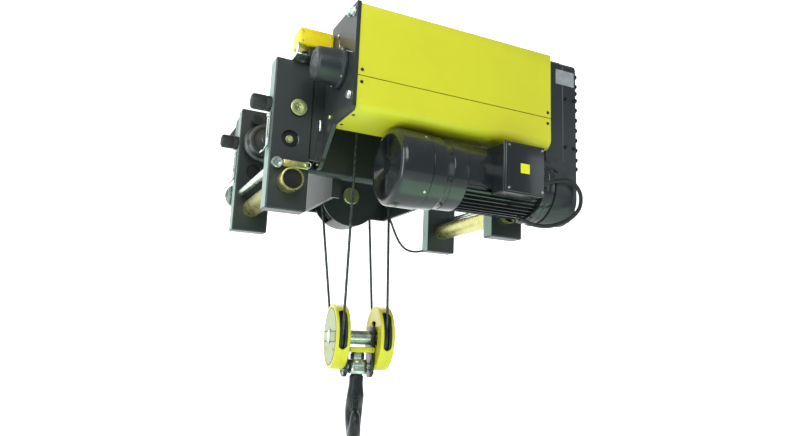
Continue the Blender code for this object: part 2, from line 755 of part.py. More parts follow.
def hook_rings():
    """(place across, place up, heading in degrees, half depth, half thickness) along the hook."""
    rings = []
    for z, half in ((CROSS_Z + 0.0490, 0.0205), (-0.1500, 0.0205), (-0.1620, 0.0235), (-0.1900, 0.0235)):
        rings.append((0.0, z, -90.0, half, half))
    rings.append((0.005, -0.2030, -78.0, 0.0260, 0.0240))
    bend = (
        (48, 0.0270, 0.0240),
        (22, 0.0285, 0.0250),
        (-4, 0.0295, 0.0260),
        (-28, 0.0305, 0.0265),
        (-52, 0.0310, 0.0265),
        (-76, 0.0305, 0.0260),
        (-100, 0.0290, 0.0250),
        (-124, 0.0265, 0.0235),
        (-148, 0.0235, 0.0215),
        (-170, 0.0200, 0.0190),
        (-192, 0.0150, 0.0155),
        (-206, 0.0095, 0.0105),
    )
    for angle, depth, thick in bend:
        turn = math.radians(angle)
        reach = BOWL_R + depth + (0.004 if angle < -160 else 0.0)
        across = reach * math.cos(turn)
        up = BOWL_Z + reach * math.sin(turn)
        rings.append((across, up, angle - 90.0, depth, thick))
    return rings


def make_hook():
    """The hook, as a loft through rings that grow and shrink round its bend."""
    sides = 16
    shape = bmesh.new()
    rows = []
    for across, up, heading, depth, thick in hook_rings():
        turn = math.radians(heading)
        side = Vector((0, -math.sin(turn), math.cos(turn)))
        middle = Vector((0, across, up - CROSS_Z))
        row = []
        for k in range(sides):
            angle = 2 * math.pi * k / sides
            narrow = 1.0 - 0.22 * max(0.0, math.cos(angle)) if depth > thick else 1.0
            edge = Vector((thick * narrow * math.sin(angle), 0, 0))
            row.append(shape.verts.new(middle + side * (depth * math.cos(angle)) + edge))
        rows.append(row)
    for first, second in zip(rows, rows[1:]):
        for k in range(sides):
            n = (k + 1) % sides
            shape.faces.new((first[k], first[n], second[n], second[k]))
    shape.faces.new(rows[0])
    shape.faces.new(rows[-1])
    bmesh.ops.recalc_face_normals(shape, faces=shape.faces)
    return solid("hook", shape, Matrix.Translation((0, 0, CROSS_Z)), "black")


hook = make_hook()
weld(hook, box("latch_lug", (-0.0065, -0.0310, -0.2085), (0.0065, -0.0150, -0.1970)))
cut(hook, cylinder("latch_pin_hole", "X", (-0.0275, -0.2040), 0.0020, -0.02, 0.02, 16))
place(hook, HOOK_FRAME)

LATCH = (0.0, -0.0275, -0.2040)
hook_latch = box("hook_latch", (-0.0125, -0.0292, -0.2630), (0.0125, -0.0266, -0.2110), "zinc", LATCH)
for side in (-1, 1):
    edge = sorted((side * 0.0070, side * 0.0095))
    weld(hook_latch, box("ear", (edge[0], -0.0308, -0.2130), (edge[1], -0.0250, -0.2000)))
weld(hook_latch, cylinder("latch_pin", "X", (-0.0275, -0.2040), 0.0016, -0.0085, 0.0085, 12))
place(hook_latch, HOOK_FRAME)

# ---------------------------------------------------------------- wire rope


def touch(centre, radius, point, side):
    """Where a rope from point touches a circle: the place on it, and its angle there."""
    across, up = point[0] - centre[0], point[1] - centre[1]
    open_angle = math.acos(radius / math.hypot(across, up))
    base = math.atan2(up, across)
    best = max((base + open_angle, base - open_angle), key=lambda angle: side * math.cos(angle))
    return (centre[0] + radius * math.cos(best), centre[1] + radius * math.sin(best)), best


def block_touch(offset, side, upper):
    """The world point where a fall from upper meets a block sheave, and the angle there."""
    local = BLOCK_FRAME.inverted() @ Vector(upper)
    spot, angle = touch((0, 0), SHEAVE_PITCH_R, (local.y, local.z), side)
    return BLOCK_FRAME @ Vector((offset, spot[0], spot[1])), angle


def top_touch(side, lower):
    """The world point where a fall from lower meets the top sheave, and the angle there."""
    spot, angle = touch(top, SHEAVE_PITCH_R, (lower[0], lower[2]), side)
    return Vector((spot[0], TOP_SHEAVE[1], spot[1])), angle


def drum_touch(lower):
    spot, angle = touch((DRUM_Y, DRUM_Z), DRUM_PITCH_R, (lower[1], lower[2]), 1)
    return Vector((GUIDE_X, spot[0], spot[1])), angle


def fall(name, upper_end, lower_end, upper_gap, lower_gap):
    ahead = (lower_end - upper_end).normalized()
    pipe(name, [upper_end + ahead * upper_gap, lower_end - ahead * lower_gap], ROPE_R, 4)


def wrap(name, frame, offset, start, end):
    """The part turn of rope in a sheave's groove, between two angles in radians."""
    trim = 0.0012 / SHEAVE_PITCH_R
    path = []
    for k in range(19):
        angle = start + trim + (end - start - 2 * trim) * k / 18
        across, up = SHEAVE_PITCH_R * math.cos(angle), SHEAVE_PITCH_R * math.sin(angle)
        path.append(frame @ Vector((offset, across, up)))
    return pipe(name, path, ROPE_R, 2)


def full(angle):
    return angle % (2 * math.pi)


left_near, left_far = Vector(BLOCK), Vector(BLOCK)
right_near, right_far = Vector(BLOCK), Vector(BLOCK)
anchor_end = Vector((ANCHOR[0], ANCHOR[1], -0.1655))
for _ in range(8):
    drum_spot, drum_angle = drum_touch(left_near)
    left_near, left_near_angle = block_touch(-SHEAVE_OFFSET, -1, drum_spot)
    top_left, top_left_angle = top_touch(-1, left_far)
    left_far, left_far_angle = block_touch(-SHEAVE_OFFSET, 1, top_left)
    top_right, top_right_angle = top_touch(1, right_far)
    right_far, right_far_angle = block_touch(SHEAVE_OFFSET, 1, top_right)
right_near, right_near_angle = block_touch(SHEAVE_OFFSET, -1, anchor_end)

fall("rope_from_drum", drum_spot, left_near, 0.0010, 0.0010)
fall("rope_left_far_fall", top_left, left_far, 0.0010, 0.0010)
fall("rope_right_far_fall", top_right, right_far, 0.0010, 0.0010)
fall("rope_to_anchor", anchor_end, right_near, 0.0, 0.0010)

across_frame = Matrix.Translation(TOP_SHEAVE) @ Matrix.Rotation(math.radians(-90), 4, "Z")
wrap("rope_over_top_sheave", across_frame, 0.0, top_right_angle, full(top_left_angle))
for word, offset, near_angle, far_angle in (
    ("left", -SHEAVE_OFFSET, left_near_angle, left_far_angle),
    ("right", SHEAVE_OFFSET, right_near_angle, right_far_angle),
):
    wrap("rope_under_%s_sheave" % word, BLOCK_FRAME, offset, full(near_angle), far_angle + 2 * math.pi)
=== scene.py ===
"""Looks of an electric wire rope hoist on a monorail trolley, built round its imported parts.

Metres, +Z up. +X runs along the drum towards the gearbox and -Y is the drum's side.
"""
import math

import bmesh
import bpy
from mathutils import Matrix, Vector


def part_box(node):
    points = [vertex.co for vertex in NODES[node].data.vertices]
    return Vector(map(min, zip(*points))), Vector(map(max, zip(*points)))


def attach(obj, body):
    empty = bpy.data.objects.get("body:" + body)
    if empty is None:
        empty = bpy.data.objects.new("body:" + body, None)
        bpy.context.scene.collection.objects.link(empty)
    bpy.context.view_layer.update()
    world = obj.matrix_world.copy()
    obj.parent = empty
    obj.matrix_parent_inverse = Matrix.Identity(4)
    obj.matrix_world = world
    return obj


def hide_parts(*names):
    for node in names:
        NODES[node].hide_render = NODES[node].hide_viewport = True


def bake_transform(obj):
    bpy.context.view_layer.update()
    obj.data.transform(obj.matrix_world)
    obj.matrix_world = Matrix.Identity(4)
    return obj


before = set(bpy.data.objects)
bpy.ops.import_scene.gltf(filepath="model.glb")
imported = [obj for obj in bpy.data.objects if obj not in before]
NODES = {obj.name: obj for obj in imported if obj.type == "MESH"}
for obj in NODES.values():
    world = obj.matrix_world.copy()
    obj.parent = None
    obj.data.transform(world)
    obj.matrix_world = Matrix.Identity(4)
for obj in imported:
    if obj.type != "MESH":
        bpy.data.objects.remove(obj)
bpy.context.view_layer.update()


def middle_of(node):
    low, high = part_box(node)
    return (low + high) / 2


# ------------------------------------------------------------------ camera, light and stage

EYE = Vector((-0.9331, -2.1781, -0.6603))
HEADING = math.radians(25.564)
PITCH = math.radians(11.009)
ROLL = math.radians(2.3146)
LENS = 29.146


def make_camera():
    ahead = Vector(
        (math.sin(HEADING) * math.cos(PITCH), math.cos(HEADING) * math.cos(PITCH), math.sin(PITCH))
    )
    side = Vector((math.cos(HEADING), -math.sin(HEADING), 0.0))
    over = side.cross(ahead)
    right = side * math.cos(ROLL) + over * math.sin(ROLL)
    up = over * math.cos(ROLL) - side * math.sin(ROLL)
    data = bpy.data.cameras.new("camera")
    data.sensor_width = 36.0
    data.lens = LENS
    camera = bpy.data.objects.new("camera", data)
    axes = Matrix((right, up, -ahead)).transposed()
    camera.matrix_world = Matrix.Translation(EYE) @ axes.to_4x4()
    bpy.context.scene.collection.objects.link(camera)
    bpy.context.scene.camera = camera


def soft_light(name, spot, target, size, power, tint):
    data = bpy.data.lights.new(name, "AREA")
    data.shape = "RECTANGLE"
    data.size, data.size_y = size
    data.energy = power
    data.color = tint
    light = bpy.data.objects.new(name, data)
    light.location = spot
    light.rotation_euler = (Vector(target) - Vector(spot)).to_track_quat("-Z", "Y").to_euler()
    light.visible_camera = False
    bpy.context.scene.collection.objects.link(light)


def make_lights():
    bpy.context.scene.view_settings.view_transform = "Standard"
    world = bpy.data.worlds.new("studio")
    world.use_nodes = True
    sky = world.node_tree.nodes["Background"]
    sky.inputs["Color"].default_value = (0.86, 0.93, 1.0, 1.0)
    sky.inputs["Strength"].default_value = 0.30
    bpy.context.scene.world = world
    soft_light("front_light", (-1.4, -3.2, 1.5), (0.0, -0.3, 0.0), (2.4, 1.8), 56.0, (1.0, 0.99, 0.96))
    soft_light("left_strip", (-2.6, -0.9, 0.2), (-0.3, -0.2, -0.1), (0.6, 2.4), 30.0, (0.84, 1.0, 0.97))
    soft_light("right_light", (2.6, -2.2, 0.3), (0.2, -0.3, 0.0), (1.5, 1.5), 8.0, (0.9, 0.97, 1.0))
    soft_light("back_light", (0.8, 2.8, 1.6), (0.0, 0.0, 0.0), (2.2, 1.6), 22.0, (1.0, 1.0, 1.0))
    soft_light("low_light", (0.1, -0.7, -1.58), (0.0, -0.2, 0.0), (2.4, 2.0), 16.0, (0.42, 1.0, 0.50))


def make_stage(finish):
    """A pale floor that curves up into a wall behind."""
    shape = bmesh.new()
    line = [(-5.0, -1.62), (2.4, -1.62)]
    for k in range(1, 13):
        angle = math.radians(90 * k / 12)
        line.append((2.4 + 1.6 * math.sin(angle), -0.02 - 1.6 * math.cos(angle)))
    line.append((4.0, 6.0))
    rows = []
    for y, z in line:
        rows.append([shape.verts.new((x, y, z)) for x in (-9.0, 16.0)])
    for a, b in zip(rows, rows[1:]):
        shape.faces.new((a[0], a[1], b[1], b[0]))
    mesh = bpy.data.meshes.new("pale_floor")
    shape.to_mesh(mesh)
    shape.free()
    mesh.shade_smooth()
    mesh.materials.append(finish)
    floor = bpy.data.objects.new("pale_floor", mesh)
    bpy.context.scene.collection.objects.link(floor)


# ------------------------------------------------------------------ finishes


class Value:
    """A number that varies over a surface. Arithmetic on it adds Math nodes."""

    def __init__(self, finish, socket):
        self.finish = finish
        self.socket = socket

    def _math(self, operation, first, second, clamp=False):
        settings = {"operation": operation, "use_clamp": clamp}
        return self.finish.node("ShaderNodeMath", settings, {0: first, 1: second})

    def __add__(self, other):
        return self._math("ADD", self, other)

    __radd__ = __add__

    def __sub__(self, other):
        return self._math("SUBTRACT", self, other)

    def __rsub__(self, other):
        return self._math("SUBTRACT", other, self)

    def __mul__(self, other):
        return self._math("MULTIPLY", self, other)

    __rmul__ = __mul__

    def __truediv__(self, other):
        return self._math("DIVIDE", self, other)

    def __pow__(self, other):
        return self._math("POWER", self, other)

    def clamped(self):
        return self._math("ADD", self, 0.0, clamp=True)

    def over(self, edge, spread):
        """0 below the edge, 1 above it, with a soft step between."""
        return ((self - (edge - spread)) / (2 * spread)).clamped()


class Finish:
    """A material being made of nodes. ready() joins it to its shader."""

    def __init__(self, name):
        self.material = bpy.data.materials.new(name)
        self.material.use_nodes = True
        self.tree = self.material.node_tree
        self.shader = self.tree.nodes["Principled BSDF"]
        self.object = self.node("ShaderNodeTexCoord", out="Object")

    def node(self, kind, settings=None, links=None, out=0):
        made = self.tree.nodes.new(kind)
        for key, value in (settings or {}).items():
            setattr(made, key, value)
        for key, value in (links or {}).items():
            self.join(value, made.inputs[key])
        return Value(self, made.outputs[out])

    def join(self, value, socket):
        if isinstance(value, Value):
            self.tree.links.new(value.socket, socket)
        else:
            socket.default_value = value

    def stretched(self, scale):
        return self.node("ShaderNodeMapping", None, {"Vector": self.object, "Scale": scale})

    def noise(self, scale, detail=3.0, rough=0.5, where=None):
        links = {"Vector": where or self.object, "Scale": scale, "Detail": detail, "Roughness": rough}
        return self.node("ShaderNodeTexNoise", None, links)

    def cells(self, scale, feature="F1", out="Distance"):
        links = {"Vector": self.object, "Scale": scale}
        return self.node("ShaderNodeTexVoronoi", {"feature": feature}, links, out)

    def mixed(self, factor, first, second):
        """A colour between two colours."""
        made = self.tree.nodes.new("ShaderNodeMix")
        made.data_type = "RGBA"
        self.join(factor, made.inputs[0])
        self.join(first, made.inputs[6])
        self.join(second, made.inputs[7])
        return Value(self, made.outputs[2])

    def bump(self, height, distance, strength=1.0, under=None):
        links = {"Height": height, "Distance": distance, "Strength": strength}
        if under is not None:
            links["Normal"] = under
        return self.node("ShaderNodeBump", None, links)

    def facing_up(self):
        """1 where the surface looks up and 0 where it looks down or sideways."""
        normal = self.node("ShaderNodeNewGeometry", out="Normal")
        return self.node("ShaderNodeSeparateXYZ", None, {0: normal}, "Z").clamped()

    def sideways(self):
        """1 where the surface looks along X, either way, and 0 elsewhere."""
        normal = self.node("ShaderNodeNewGeometry", out="Normal")
        along = self.node("ShaderNodeSeparateXYZ", None, {0: normal}, "X")
        return (along * along).over(0.8, 0.08)

    def ready(self, **sockets):
        for key, value in sockets.items():
            self.join(value, self.shader.inputs[key.replace("_", " ")])
        return self.material


def tone(red, green, blue, gain=1.0):
    return (red * gain, green * gain, blue * gain, 1.0)


def paint(name, colour, rough, coat=0.0, peel=0.00006, dust=0.3, chips=0.0):
    """Sprayed or powder-coated paint: fine orange peel, faint uneven gloss, dust and rubs."""
    f = Finish(name)
    cloud = f.noise(5.0, 4.0, 0.55)
    speckle = f.noise(260.0, 2.0, 0.6)
    rub = f.noise(34.0, 6.0, 0.72)
    base = f.mixed(cloud, tone(*colour, 0.93), tone(*colour, 1.07))
    base = f.mixed(speckle.over(0.62, 0.1) * 0.10, base, tone(*colour, 0.84))
    powder = (f.facing_up() * dust * rub.over(0.42, 0.3)).clamped()
    base = f.mixed(powder, base, (0.34, 0.33, 0.30, 1.0))
    worn = rub.over(0.74, 0.03) * chips
    base = f.mixed(worn, base, (0.25, 0.25, 0.24, 1.0))
    gloss = rough + (cloud - 0.5) * 0.10 + (rub - 0.5) * 0.10 + powder * 0.3
    skin = f.bump(f.noise(620.0, 2.0, 0.5), peel, 0.7)
    f.shader.inputs["Coat Weight"].default_value = coat
    f.shader.inputs["Coat Roughness"].default_value = 0.12
    return f.ready(Base_Color=base, Roughness=gloss.clamped(), Normal=skin)


# edge is the pale teal-grey of the painted light on the sides that face along X.
def plate_with_lit_sides(name, colour, edge, rough):
    """Painted plate whose faces along X are painted a streaked pale teal-grey: painted light standing in
    for the light from the left on the plate sides.
    """
    f = Finish(name)
    cloud = f.noise(5.0, 4.0, 0.55)
    rub = f.noise(34.0, 6.0, 0.72)
    streak = f.noise(1.0, 4.0, 0.6, f.stretched((90.0, 160.0, 6.0)))
    base = f.mixed(cloud, tone(*colour, 0.93), tone(*colour, 1.07))
    # Painted light: the X-facing sides get a streaked pale teal-grey in the base colour.
    lit_face_tone = f.mixed(streak, tone(*edge, 0.72), tone(*edge, 1.18))
    lit_face_tone = f.mixed(rub.over(0.66, 0.06) * 0.5, lit_face_tone, tone(*colour, 2.0))
    side = f.sideways()
    base = f.mixed(side, base, lit_face_tone)
    base = f.mixed(rub.over(0.74, 0.03) * 0.06, base, (0.25, 0.25, 0.24, 1.0))
    gloss = rough + (cloud - 0.5) * 0.10 + (rub - 0.5) * 0.10 + side * 0.08
    skin = f.bump(f.noise(620.0, 2.0, 0.5), 0.00006, 0.7)
    f.shader.inputs["Coat Weight"].default_value = 0.10
    f.shader.inputs["Coat Roughness"].default_value = 0.12
    return f.ready(Base_Color=base, Roughness=gloss.clamped(), Normal=skin)


def plated(name, light, dark, rough=0.3):
    """Zinc plating: a cloudy tint with small crystals and handling marks."""
    f = Finish(name)
    cloud = f.noise(46.0, 5.0, 0.62)
    crystal = f.cells(420.0)
    grime = f.noise(18.0, 6.0, 0.7)
    base = f.mixed(cloud.over(0.5, 0.16), tone(*dark), tone(*light))
    base = f.mixed(crystal.over(0.55, 0.3) * 0.25, base, tone(*light, 1.15))
    base = f.mixed(grime.over(0.66, 0.07) * 0.45, base, tone(*dark, 0.35))
    gloss = rough + (cloud - 0.5) * 0.25 + grime.over(0.66, 0.07) * 0.2
    skin = f.bump(crystal + f.noise(900.0, 2.0), 0.00003, 0.6)
    f.shader.inputs["Metallic"].default_value = 0.92
    return f.ready(Base_Color=base, Roughness=gloss.clamped(), Normal=skin)


def turned_steel(name, stretch, colour=(0.46, 0.47, 0.48), rough=0.30):
    """Machined steel with tool marks across the stretched direction and a film of oil."""
    f = Finish(name)
    marks = f.noise(1.0, 2.0, 0.6, f.stretched(stretch))
    oil = f.noise(14.0, 5.0, 0.65)
    base = f.mixed(marks, tone(*colour, 0.84), tone(*colour, 1.12))
    base = f.mixed(oil.over(0.58, 0.10) * 0.55, base, (0.10, 0.085, 0.06, 1.0))
    gloss = rough + (marks - 0.5) * 0.2 + oil.over(0.58, 0.1) * 0.12
    skin = f.bump(marks, 0.00005, 0.6)
    f.shader.inputs["Metallic"].default_value = 0.95
    return f.ready(Base_Color=base, Roughness=gloss.clamped(), Normal=skin)


def moulded(name, colour, rough, grain=900.0, depth=0.00006):
    """Rubber or plastic with a fine spark-eroded grain and faint bloom."""
    f = Finish(name)
    bloom = f.noise(22.0, 5.0, 0.6)
    grain_height = f.noise(grain, 3.0, 0.6)
    base = f.mixed(bloom.over(0.5, 0.2) * 0.5, tone(*colour), tone(*colour, 1.55))
    gloss = rough + (bloom - 0.5) * 0.16
    skin = f.bump(grain_height, depth, 0.8)
    return f.ready(Base_Color=base, Roughness=gloss.clamped(), Normal=skin)


def forged(name, colour=(0.022, 0.024, 0.028)):
    """Drop-forged steel, blacked: a hammered skin with scale and rubbed high places."""
    f = Finish(name)
    dimple = f.noise(55.0, 4.0, 0.6)
    scale = f.cells(160.0, "SMOOTH_F1")
    rub = f.noise(24.0, 5.0, 0.7)
    base = f.mixed(dimple, tone(*colour, 0.8), tone(*colour, 1.5))
    base = f.mixed(rub.over(0.66, 0.05) * 0.5, base, (0.12, 0.12, 0.12, 1.0))
    gloss = 0.36 + (dimple - 0.5) * 0.3
    skin = f.bump(dimple + scale * 0.3, 0.0005, 0.5)
    f.shader.inputs["Metallic"].default_value = 0.35
    return f.ready(Base_Color=base, Roughness=gloss.clamped(), Normal=skin)


def rope_wire(name, along):
    """Oiled steel wires: thin lines along the strands, dark grease between them."""
    f = Finish(name)
    wires = f.noise(1.0, 2.0, 0.5, f.stretched(along))
    grease = f.noise(60.0, 4.0, 0.6)
    base = f.mixed(wires.over(0.5, 0.15), (0.022, 0.025, 0.023, 1.0), (0.12, 0.14, 0.13, 1.0))
    base = f.mixed(grease.over(0.55, 0.1) * 0.6, base, (0.03, 0.028, 0.022, 1.0))
    gloss = 0.42 + grease * 0.15
    skin = f.bump(wires, 0.0002, 0.7)
    f.shader.inputs["Metallic"].default_value = 0.7
    return f.ready(Base_Color=base, Roughness=gloss.clamped(), Normal=skin)


def pale_stage():
    """Pale grey underfoot, glowing white where it turns up behind."""
    f = Finish("studio_white")
    cloud = f.noise(0.8, 2.0)
    depth = f.node("ShaderNodeSeparateXYZ", None, {0: f.object}, "Y")
    behind = depth.over(2.2, 0.5)
    base = f.mixed(cloud, (0.86, 0.87, 0.87, 1.0), (0.90, 0.90, 0.90, 1.0))
    glow = f.mixed(behind, (0.16, 0.20, 0.17, 1.0), (1.0, 1.0, 1.0, 1.0))
    f.shader.inputs["Emission Strength"].default_value = 1.0
    return f.ready(Base_Color=base, Roughness=0.9 + cloud * 0.05, Emission_Color=glow)


COVER_YELLOW = paint("cover_yellow", (0.77, 0.74, 0.028), 0.42, coat=0.12, dust=0.10)
GUARD_YELLOW = paint("guard_yellow", (0.74, 0.66, 0.02), 0.36, coat=0.15, dust=0.12, chips=0.25)
SWITCH_YELLOW = moulded("switch_yellow", (0.85, 0.66, 0.0), 0.33, 500.0, 0.00002)
FRAME_PAINT = paint("frame_paint", (0.024, 0.030, 0.031), 0.40, coat=0.10, chips=0.06)
# Painted light: the cheek plates' X-facing sides are painted pale teal-grey.
CHEEK_PAINT_WITH_LIGHT = plate_with_lit_sides("cheek_paint", (0.024, 0.030, 0.031), (0.30, 0.42, 0.37), 0.40)
GEAR_PAINT = paint("gearbox_paint", (0.019, 0.024, 0.028), 0.40, coat=0.10, peel=0.00010)
MOTOR_PAINT = paint("motor_paint", (0.013, 0.016, 0.019), 0.22, coat=0.45, peel=0.00005, dust=0.12)
BLACK_PAINT = paint("black_paint", (0.007, 0.008, 0.009), 0.34, coat=0.15)
# Painted light: the guard faces are painted a pale grey-green, paler than the yellow shell, standing in
# for the light from the left on them.
GUARD_FACE_PAINTED_LIGHT = paint("guard_face_painted_light", (0.40, 0.44, 0.22), 0.40, chips=0.2)
YELLOW_ZINC = plated("yellow_zinc", (0.66, 0.62, 0.26), (0.46, 0.44, 0.14))
AXLE_ZINC = plated("axle_zinc", (0.62, 0.66, 0.34), (0.44, 0.50, 0.22), 0.34)
BRIGHT_ZINC = plated("bright_zinc", (0.66, 0.72, 0.66), (0.42, 0.50, 0.46), 0.26)
WHEEL_STEEL = turned_steel("wheel_steel", (3.0, 900.0, 3.0), (0.11, 0.12, 0.12), 0.38)
SHEAVE_IRON = forged("sheave_iron", (0.020, 0.022, 0.022))
DRUM_STEEL = turned_steel("drum_steel", (700.0, 4.0, 4.0), (0.30, 0.31, 0.31), 0.36)
BUFFER_RUBBER = moulded("buffer_rubber", (0.020, 0.021, 0.023), 0.62, 700.0, 0.0001)
BLACK_PLASTIC = moulded("black_plastic", (0.016, 0.017, 0.019), 0.42)
# Painted shade: a near-black finish for discs set in holes and tube ends, standing in for the shade
# inside them.
HOLE_SHADE = moulded("painted_hole_shade", (0.004, 0.004, 0.005), 0.70)
CABLE_SKIN = moulded("cable_skin", (0.012, 0.012, 0.014), 0.38, 1200.0, 0.00003)
STICKER = moulded("plain_label", (0.86, 0.82, 0.02), 0.35, 300.0, 0.00001)
PLATE_FACE = plated("blank_plate", (0.78, 0.80, 0.80), (0.60, 0.63, 0.64), 0.34)
HOOK_BLACK = forged("hook_black", (0.014, 0.016, 0.019))
ROPE_STEEL = rope_wire("rope_steel", (260.0, 260.0, 40.0))
WOUND_ROPE = rope_wire("wound_rope", (60.0, 260.0, 260.0))

CAD_LOOKS = {
    CHEEK_PAINT_WITH_LIGHT: "near_left_cheek near_right_cheek far_left_cheek far_right_cheek",
    FRAME_PAINT: "near_frame_beam centre_frame drum_end_plate top_sheave_guard",
    GEAR_PAINT: (
        "gearbox_housing gearbox_cover gearbox_foot drum_bearing_housing travel_gearbox"
    ),
    MOTOR_PAINT: "motor_housing motor_fan_cover terminal_box terminal_box_lid travel_motor",
    BLACK_PAINT: "rope_guide block_frame",
    COVER_YELLOW: "drum_cover",
    SWITCH_YELLOW: "limit_switch_box",
    BLACK_PLASTIC: "limit_switch_base",
    GUARD_YELLOW: "left_sheave_guard right_sheave_guard",
    YELLOW_ZINC: "left_cross_tube right_cross_tube locking_bar top_sheave_pin",
    BRIGHT_ZINC: (
        "left_tie_rod right_tie_rod rope_anchor guide_bar crosshead hook_nut hook_latch block_axle"
    ),
    WHEEL_STEEL: (
        "near_left_wheel near_right_wheel far_left_wheel far_right_wheel top_sheave "
        "left_block_sheave right_block_sheave"
    ),
    DRUM_STEEL: "rope_drum motor_rotor",
    BUFFER_RUBBER: "near_left_buffer near_right_buffer far_left_buffer far_right_buffer",
    HOOK_BLACK: "hook travel_pinion",
    ROPE_STEEL: (
        "rope_from_drum rope_left_far_fall rope_right_far_fall rope_to_anchor "
        "rope_over_top_sheave rope_under_left_sheave rope_under_right_sheave"
    ),
}


def finish_cad_nodes():
    for finish, names in CAD_LOOKS.items():
        for name in names.split():
            mesh = NODES[name].data
            mesh.materials.clear()
            mesh.materials.append(finish)

# ------------------------------------------------------------------ shapes


def finished(name, shape, finish, body, stands_for=(), crease=35):
    """A mesh piece from a bmesh, with closed seams and faces outwards, riding on a body."""
    bmesh.ops.remove_doubles(shape, verts=shape.verts, dist=0.000002)
    bmesh.ops.recalc_face_normals(shape, faces=shape.faces)
    mesh = bpy.data.meshes.new(name)
    shape.to_mesh(mesh)
    shape.free()
    mesh.shade_smooth()
    mesh.set_sharp_from_angle(angle=math.radians(crease))
    mesh.materials.append(finish)
    return settled(bpy.data.objects.new(name, mesh), body, stands_for)


def turned(name, profile, place, steps, finish, body, stands_for=(), crease=35, closed=False):
    """A piece that is one profile turned about the Z of place."""
    shape = bmesh.new()
    revolve(shape, profile, place, steps, closed)
    return finished(name, shape, finish, body, stands_for, crease)


def settled(thing, body, stands_for=()):
    """Links a finished object, rides it on its body and hides the imported parts it stands for."""
    if not thing.users_collection:
        bpy.context.scene.collection.objects.link(thing)
    if stands_for:
        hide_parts(*stands_for)
    if body:
        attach(thing, body)
    return thing


UPRIGHT = {
    "X": Matrix(((0, 0, 1, 0), (1, 0, 0, 0), (0, 1, 0, 0), (0, 0, 0, 1))),
    "Y": Matrix(((1, 0, 0, 0), (0, 0, 1, 0), (0, 1, 0, 0), (0, 0, 0, 1))),
    "Z": Matrix.Identity(4),
}


def on_axis(axis, spot):
    """The frame whose Z lies along an axis, standing at spot."""
    return Matrix.Translation(spot) @ UPRIGHT[axis]


def aimed(spot, ahead):
    """The frame at spot whose Z points ahead."""
    return Matrix.Translation(spot) @ Vector(ahead).to_track_quat("Z", "X").to_matrix().to_4x4()


def skinned(shape, pairs):
    """Faces between each pair of closed rows of points."""
    for first, second in pairs:
        for k in range(len(first)):
            n = (k + 1) % len(first)
            shape.faces.new((first[k], first[n], second[n], second[k]))


def revolve(shape, profile, place, steps=64, closed=False):
    """Turns a profile of (along, radius) about the Z of place."""
    rows = []
    for along, radius in profile:
        row = []
        for k in range(steps):
            angle = 2 * math.pi * k / steps
            spot = Vector((radius * math.cos(angle), radius * math.sin(angle), along))
            row.append(shape.verts.new(place @ spot))
        rows.append(row)
    pairs = list(zip(rows, rows[1:]))
    if closed:
        pairs.append((rows[-1], rows[0]))
    skinned(shape, pairs)
    if not closed:
        for row, (_, radius) in ((rows[0], profile[0]), (rows[-1], profile[-1])):
            if radius > 0.00001:
                shape.faces.new(row)


def eased(profile, ease, steps=3):
    """The same profile with each inner corner rounded off by a small arc."""
    line = [profile[0]]
    for before, here, after in zip(profile, profile[1:], profile[2:]):
        a, b, c = Vector(before), Vector(here), Vector(after)
        reach = min(ease, (a - b).length * 0.45, (c - b).length * 0.45)
        start = b + (a - b).normalized() * reach
        end = b + (c - b).normalized() * reach
        for k in range(steps + 1):
            t = k / steps
            line.append(tuple(start * (1 - t) ** 2 + b * (2 * t * (1 - t)) + end * t * t))
    line.append(profile[-1])
    return line


def block(shape, low, high, ease=0.002, steps=2, place=None):
    """A block with rounded edges."""
    low, high = Vector(low), Vector(high)
    size = Matrix.Diagonal((*(high - low), 1.0))
    where = (place or Matrix.Identity(4)) @ Matrix.Translation((low + high) / 2) @ size
    made = bmesh.ops.create_cube(shape, size=1.0, matrix=where)
    edges = dict.fromkeys(edge for vert in made["verts"] for edge in vert.link_edges)
    if ease:
        bmesh.ops.bevel(
            shape, geom=list(edges), offset=ease, segments=steps, profile=0.5, affect="EDGES"
        )


def plate(shape, outline, place, low, high, ease=0.0, steps=2):
    """A flat outline, thick from low to high along the Z of place, with eased rims."""
    bottom = [shape.verts.new(place @ Vector((a, b, low))) for a, b in outline]
    top = [shape.verts.new(place @ Vector((a, b, high))) for a, b in outline]
    faces = [shape.faces.new(bottom), shape.faces.new(top)]
    count = len(outline)
    for k in range(count):
        n = (k + 1) % count
        shape.faces.new((bottom[k], bottom[n], top[n], top[k]))
    if ease:
        rims = [edge for face in faces for edge in face.edges]
        bmesh.ops.bevel(
            shape, geom=rims, offset=ease, segments=steps, profile=0.5, affect="EDGES"
        )


def arc(centre, radius, start, end, steps):
    line = []
    for k in range(steps + 1):
        angle = math.radians(start + (end - start) * k / steps)
        line.append((centre[0] + radius * math.cos(angle), centre[1] + radius * math.sin(angle)))
    return line


def hexagon(wide):
    return [
        (wide * math.cos(math.radians(60 * k)), wide * math.sin(math.radians(60 * k)))
        for k in range(6)
    ]


def ring_points(place, radius, along, count):
    """Points of a level ring about the Z of place."""
    angles = [2 * math.pi * k / count for k in range(count)]
    return [place @ Vector((radius * math.cos(a), radius * math.sin(a), along)) for a in angles]


def rounded(low, high, radius, steps=5):
    x0, y0, x1, y1 = low[0] + radius, low[1] + radius, high[0] - radius, high[1] - radius
    line = arc((x1, y1), radius, 0, 90, steps) + arc((x0, y1), radius, 90, 180, steps)
    return line + arc((x0, y0), radius, 180, 270, steps) + arc((x1, y0), radius, 270, 360, steps)


def smooth_path(points, per=8):
    """A Catmull-Rom line through points."""
    points = [Vector(p) for p in points]
    ends = [points[0] * 2 - points[1]] + points + [points[-1] * 2 - points[-2]]
    line = []
    for a, b, c, d in zip(ends, ends[1:], ends[2:], ends[3:]):
        for k in range(per):
            t = k / per
            line.append(
                (b * 2 + (c - a) * t + (a * 2 - b * 5 + c * 4 - d) * t * t
                 + (b * 3 - a - c * 3 + d) * t ** 3) / 2
            )
    line.append(points[-1])
    return line


def length_of(line):
    return sum((b - a).length for a, b in zip(line, line[1:]))


